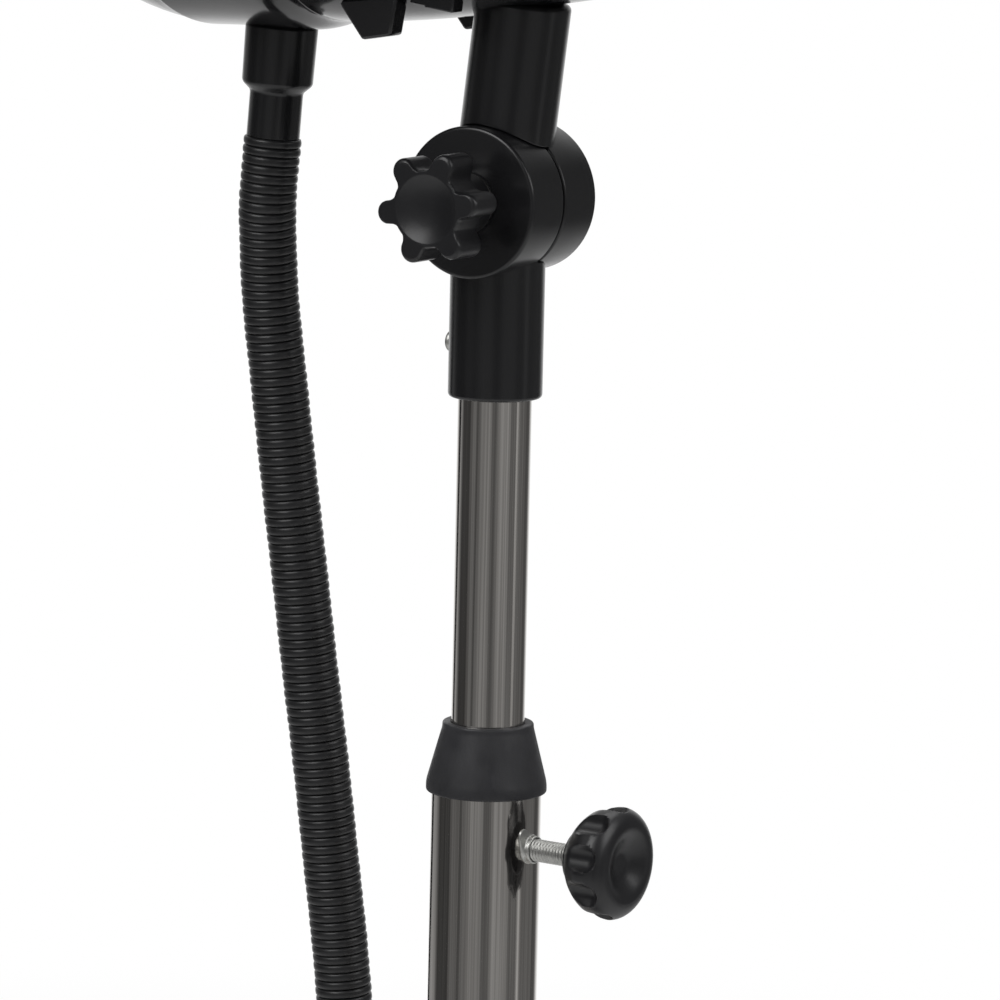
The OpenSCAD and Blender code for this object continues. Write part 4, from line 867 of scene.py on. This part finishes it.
long = cover_r - 1
bar = soften([[-long, -1.5], [long, -1.5], [long, 1.5], [-long, 1.5]], 0.5, closed=True)
spokes = [stack(bar, 10, 13, 0.7, within(cover_place, turned_z(a))) for a in np.radians([0, 45, 90, 135])]
domed = lathe(soften([(0, 9.8), (10, 9.8), (10, 12.8), (7, 13.8), (0, 14)], [0, 0.4, 1.2, 3, 0]), cover_place)
cover_rings = [bar_ring(k, 1.3, 10, 13, 0.55) for k in np.arange(14, cover_r - 5, 6)]
build("intake_grille", [bar_ring(cover_r - 2.2, 2.2, 0, 13, 0.8), *spokes, domed, *cover_rings],
      satin_black, "intake_cover", ["intake_cover"])
print("intake grille with", len(cover_rings), "rings")

# %% [markdown]
# The base is cast and powder coated: a hub with a barrel and a flange, and five legs bolted under it. A
# leg is a loft: its half width, its top and its underside are functions of the distance from the
# column, and each cross-section is a rectangle with rounded corners. The tip ends in a half circle.

# %% Hub and legs
leg_root, leg_end, root_half, tip_half = 31, 280, 20, 15
hub_profile = [(30, 54), (30, 92), (59, 92), (59, 98), (38.5, 98), (30, 106.5), (30, 140.5), (26.8, 144),
               (19.2, 144), (19.2, 62), (13.1, 62), (13.1, 54)]
hub_edges = [1.0, 0.5, 1.8, 1.8, 4, 6, 2, 1.5, 0.6, 0.3, 0.3, 0.8]
build("hub_casting", [turned_wall(hub_profile, hub_edges, WORLD, 128, 6)], black_enamel, "stand",
      ["base_hub"])


def leg_grid(turn):
    """Cross-sections from the hub out to the tip. Half width falls from 20 to 15 mm, then follows the tip
    circle sqrt(15^2 - (r - 280)^2). The top drops 8 mm along the leg."""
    tip = leg_end + tip_half * np.sin(np.linspace(0.08, 1.53, 14))
    reach = np.concatenate([[leg_root, 31.6, 33], np.linspace(40, leg_end, 40), tip])
    half = np.where(reach < leg_end, np.interp(reach, [leg_root, leg_end], [root_half, tip_half]),
                    np.sqrt(np.maximum(tip_half**2 - (reach - leg_end) ** 2, 0.2)))
    half[0] -= 0.7
    worn_tip = 3 * np.clip((reach - 288) / 7, 0, 1) ** 2
    high = np.interp(reach, [leg_root, 62, 250, 295], [92, 92, 84, 84]) - worn_tip
    low = np.interp(reach, [leg_root, 79, 261, 295], [58, 58, 60, 60]) + worn_tip
    rows = np.array([soften([[-h, bottom], [h, bottom], [h, top], [-h, top]], [2.5, 2.5, 6, 6], closed=True,
                            steps=6) for h, top, bottom in zip(half, high, low)])
    grid = np.stack([np.broadcast_to(reach[:, None], rows.shape[:2]), rows[..., 0], rows[..., 1]], axis=-1)
    return put(grid, within(WORLD, turned_z(turn))), False


leg_turns = [np.radians(-90 + 72 * i) for i in range(5)]
for i, turn in enumerate(leg_turns):
    build(f"leg_arm_{i + 1}", [leg_grid(turn)], black_enamel, "stand", [f"leg_{i + 1}"], 40)
print("hub and legs made")

# %% [markdown]
# Two rubber wheels share each caster's axle. A wheel's tread is flat, with two shallow grooves and
# rounded shoulders, and its side is dished between a small hub and the rim.

# %% Caster wheels
caster_turns = np.radians([150, 35, 250, 110, 320])
wheel_r, trail, wheel_gap = 25, 17, 12.6


def wheel(place):
    """Closed profile of one wheel: bore, inner side, tread, outer side. Radii and depths in millimetres."""
    side = [(3.1, -8.5), (9.5, -8.5), (10.3, -7.3), (17.6, -7.3), (18.4, -8.5), (21.2, -8.5), (wheel_r, -5)]
    half_tread = [(wheel_r, -3.4), (24.4, -3.1), (24.4, -2.7), (wheel_r, -2.4)]
    half = [*side, *half_tread]
    edges = [0.4, 0.7, 0.6, 0.6, 0.7, 1.6, 2.4, *[0.2] * 4]
    return turned_wall([*half, *[(r, -z) for r, z in half[::-1]]], [*edges, *edges[::-1]], place, 88)


for i, turn in enumerate(leg_turns):
    stem = within(WORLD, turned_z(turn), (leg_end * np.cos(turn), leg_end * np.sin(turn), 0))
    stem = within(stem, turned_z(caster_turns[i]))
    pair = [wheel(within(stem, TO_FRONT, (trail, s * wheel_gap, wheel_r))) for s in (-1, 1)]
    build(f"wheel_pair_{i + 1}", pair, tyre_rubber, f"wheels_{i + 1}", [f"caster_wheels_{i + 1}"])
print("five pairs of wheels made")

# %% [markdown]
# Brackets, screws and the other small parts have cuts and holes that the solid model already has right.
# A copy of each solid is merged, its flat triangles are joined again, and a bevel eases every sharp edge
# as a moulding tool or a tumbling barrel would. The insides stay as the solid model has them.

# %% Eased copies
crisp = np.radians(34)


def eased(node, look, slot, body, edge):
    """Copy of a node's mesh: points merged, triangles in one plane joined, sharp edges bevelled."""
    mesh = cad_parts[node].data.copy()
    mesh.name = node + "_eased"
    work = bmesh.new()
    work.from_mesh(mesh)
    bmesh.ops.remove_doubles(work, verts=work.verts, dist=2e-6)
    bmesh.ops.dissolve_limit(work, angle_limit=np.radians(1.5), verts=work.verts, edges=work.edges)
    work.to_mesh(mesh)
    work.free()
    mesh.polygons.foreach_set("use_smooth", np.ones(len(mesh.polygons), bool))
    mesh.set_sharp_from_angle(angle=crisp)
    bevel = show(node + "_eased", mesh, look, body, [node]).modifiers.new("eased_edges", "BEVEL")
    bevel.width, bevel.segments, bevel.limit_method = edge * 0.001, 2, "ANGLE"
    bevel.angle_limit, bevel.use_clamp_overlap, bevel.harden_normals = crisp, False, False


for row in [
        ("rest_feet", gloss_black, "black_gloss", "head", 0.9),
        ("shell_clips", gloss_black, "black_gloss", "head", 0.6),
        ("control_pod", satin_black, "black_gloss", "head", 0.5),
        ("power_switch", red_lens, "red", "power_switch", 0.4),
        ("speed_dial", satin_black, "black_satin", "speed_dial", 0.3),
        ("heat_dial", satin_black, "black_satin", "heat_dial", 0.3),
        ("conduit_gland", satin_black, "black_satin", "stand", 0.5),
        ("mains_gland", satin_black, "black_satin", "stand", 0.5),
        ("base_screws", bright_zinc, "zinc", "stand", 0.2),
        ("socket_screw", bright_zinc, "zinc", "mast", 0.15),
        ("tilt_bolt", bright_zinc, "zinc", "mast", 0.3),
        ("shell_screws", bright_zinc, "zinc", "head", 0.15),
        *[(f"caster_yoke_{i}", satin_black, "black_satin", f"caster_{i}", 0.6) for i in range(1, 6)],
        *[(f"brake_lever_{i}", bright_zinc, "zinc", f"brake_{i}", 0.35) for i in (1, 3)]]:
    eased(*row)
print(len(made), "pieces so far")

# %% [markdown]
# What is left keeps the solid model's own mesh and only gets its finish: the parts inside the body and
# the knuckle, the bush inside the column, and the pilot light.

# %% Finishes of the inner parts
inner = {"guide_bush": white_moulding, "friction_disc": brake_fibre, "neck_bolts": bright_zinc,
         "chassis_rail": mill_sheet, "air_filter": open_foam, "fan_shroud": satin_black,
         "motor": mill_sheet, "motor_mount": mill_sheet, "motor_shaft": bright_zinc,
         "impeller": satin_black, "heater_frame": mica_sheet, "heater_windings": oxide_wire,
         "thermal_cutout": white_moulding, "pilot_light": red_lens}
for node, used in inner.items():
    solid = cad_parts[node]
    if not solid.material_slots:
        solid.data.materials.append(used)
    for place in solid.material_slots:
        place.link = "OBJECT"
        place.material = used
print(len(inner), "inner parts finished")

# %% [markdown]
# The stage is a pale floor in a room. The camera sees the room as even white. Every other ray sees a
# plain grey wall that turns white behind the dryer, with eight soft panels on it and a pale ceiling.
# Polished tubes show such a room as upright bands, so the room's brightness is a function of the
# compass direction. Each panel has a middle, a half width and a soft edge in degrees, and a brightness.
# Zero degrees is the side where the camera stands.

# %% Room
wall_grey, ceiling_grey, white_from, white_by, ceiling_from, ceiling_by = 0.165, 0.3, 136, 160, 0.3, 0.62
room = bpy.data.worlds.new("room")
bpy.context.scene.world = room
n = Nodes(room)
way = n.node("ShaderNodeTexCoord", {}, "Generated")


def towards(direction):
    """How far the looked-at direction points along another: their dot product."""
    return n.node("ShaderNodeVectorMath", {0: way, 1: direction}, 1, operation="DOT_PRODUCT")


facing = np.array([-forward[0], -forward[1], 0]) / np.hypot(forward[0], forward[1])
compass = way.math("ARCTAN2", towards(tuple(level_right)), towards(tuple(facing)))
bearing = compass * (180 / np.pi)
panels = {"pale_corner": (-131, 6, 9, 0.34), "dark_screen": (-96, 14, 8, 0.06), "door_edge": (-53, 2, 4, 0.1),
          "pale_door": (-22, 8, 16, 0.275), "doorway": (2, 4, 7, 0.125), "window": (32, 14, 9, 0.3),
          "lamp_strip": (78, 1.5, 5, 0.5), "dark_post": (129, 5, 7, 0.1)}


def size_of(value):
    """A value without its sign."""
    return value.math("ABSOLUTE", value)


ring = n.mixed(n.limited(size_of(bearing), white_from, white_by), (wall_grey,) * 3, (1, 1, 1))
for middle, half, soft, bright in panels.values():
    off_panel = n.limited(size_of(bearing - middle), half, half + soft)
    ring = n.mixed(off_panel, (bright,) * 3, ring)
ceiling = n.limited(towards((0, 0, 1)), ceiling_from, ceiling_by)
glow = n.mixed(ceiling, ring, (ceiling_grey,) * 3)
seen = n.node("ShaderNodeLightPath", {}, "Is Camera Ray")
n.end("ShaderNodeOutputWorld", n.node("ShaderNodeBackground", {0: n.mixed(seen, glow, (1, 1, 1)), 1: 1.0}))
print("room has", len(panels), "panels")

# %% [markdown]
# The lamps are three large soft boxes. Together with the room they light a matt surface about as
# brightly as its own colour. Each stands at a compass angle from the camera's side and a rise above
# level, and is aimed at the middle of the dryer.

# %% Lamps
aim = (0, 0, 0.75)


def soft_box(name, heading_angle, rise, far, size, watts):
    """A square lamp, so far from the dryer and so wide in metres, with its angles in degrees."""
    a, e = np.radians(heading_angle), np.radians(rise)
    out = (facing * np.cos(a) + level_right * np.sin(a)) * np.cos(e) + np.array([0, 0, np.sin(e)])
    lamp = placed(name, bpy.data.lights.new(name, "AREA"))
    lamp.data.shape, lamp.data.size, lamp.data.energy = "SQUARE", size, watts
    lamp.location = Vector(aim) + Vector(out * far)
    lamp.rotation_euler = Vector(out).to_track_quat("Z", "Y").to_euler()
    print(name, "shines with", round(watts / (np.pi * size**2), 2), "per square metre")


soft_box("key_box", -48, 42, 2.6, 1.6, 30)
soft_box("fill_box", 62, 36, 2.6, 1.7, 22)
soft_box("top_box", 170, 72, 2.0, 1.8, 20)

# %% [markdown]
# The floor is plain and pale. Near the dryer it takes shadows as a real floor does. From one metre to 2.6
# metres out it fades into what the camera sees as even white, and other rays pass through to the room,
# so that the steel tubes show the same room below the horizon as above it.

# %% Floor
floor_half, fade_from, fade_by = 60, 1.0, 2.6
corners = [(x * floor_half, y * floor_half, 0) for x, y in ((-1, -1), (1, -1), (1, 1), (-1, 1))]
floor_mesh = bpy.data.meshes.new("floor")
floor_mesh.from_pydata(corners, [], [(0, 1, 2, 3)])
floor = placed("floor", floor_mesh)
pale = bpy.data.materials.new("pale_floor")
n = Nodes(pale)
own = n.node("ShaderNodeTexCoord", {}, "Object")
distance = n.node("ShaderNodeVectorMath", {0: own}, 1, operation="LENGTH")
paint = n.node("ShaderNodeBsdfDiffuse", {"Color": (0.82, 0.82, 0.82, 1)})
white = n.node("ShaderNodeEmission", {"Color": (1, 1, 1, 1), "Strength": 1.0})
clear_way = n.node("ShaderNodeBsdfTransparent", {"Color": (1, 1, 1, 1)})
seen = n.node("ShaderNodeLightPath", {}, "Is Camera Ray")
beyond = n.node("ShaderNodeMixShader", {0: seen, 1: clear_way, 2: white})
far_off = n.limited(distance, fade_from, fade_by)
n.end("ShaderNodeOutputMaterial", n.node("ShaderNodeMixShader", {0: far_off, 1: paint, 2: beyond}))
floor_mesh.materials.append(pale)
print("floor ready")

# %% [markdown]
# The colours are shown as they are, without a film curve.

# %% Finish
bpy.context.scene.view_settings.view_transform = "Standard"
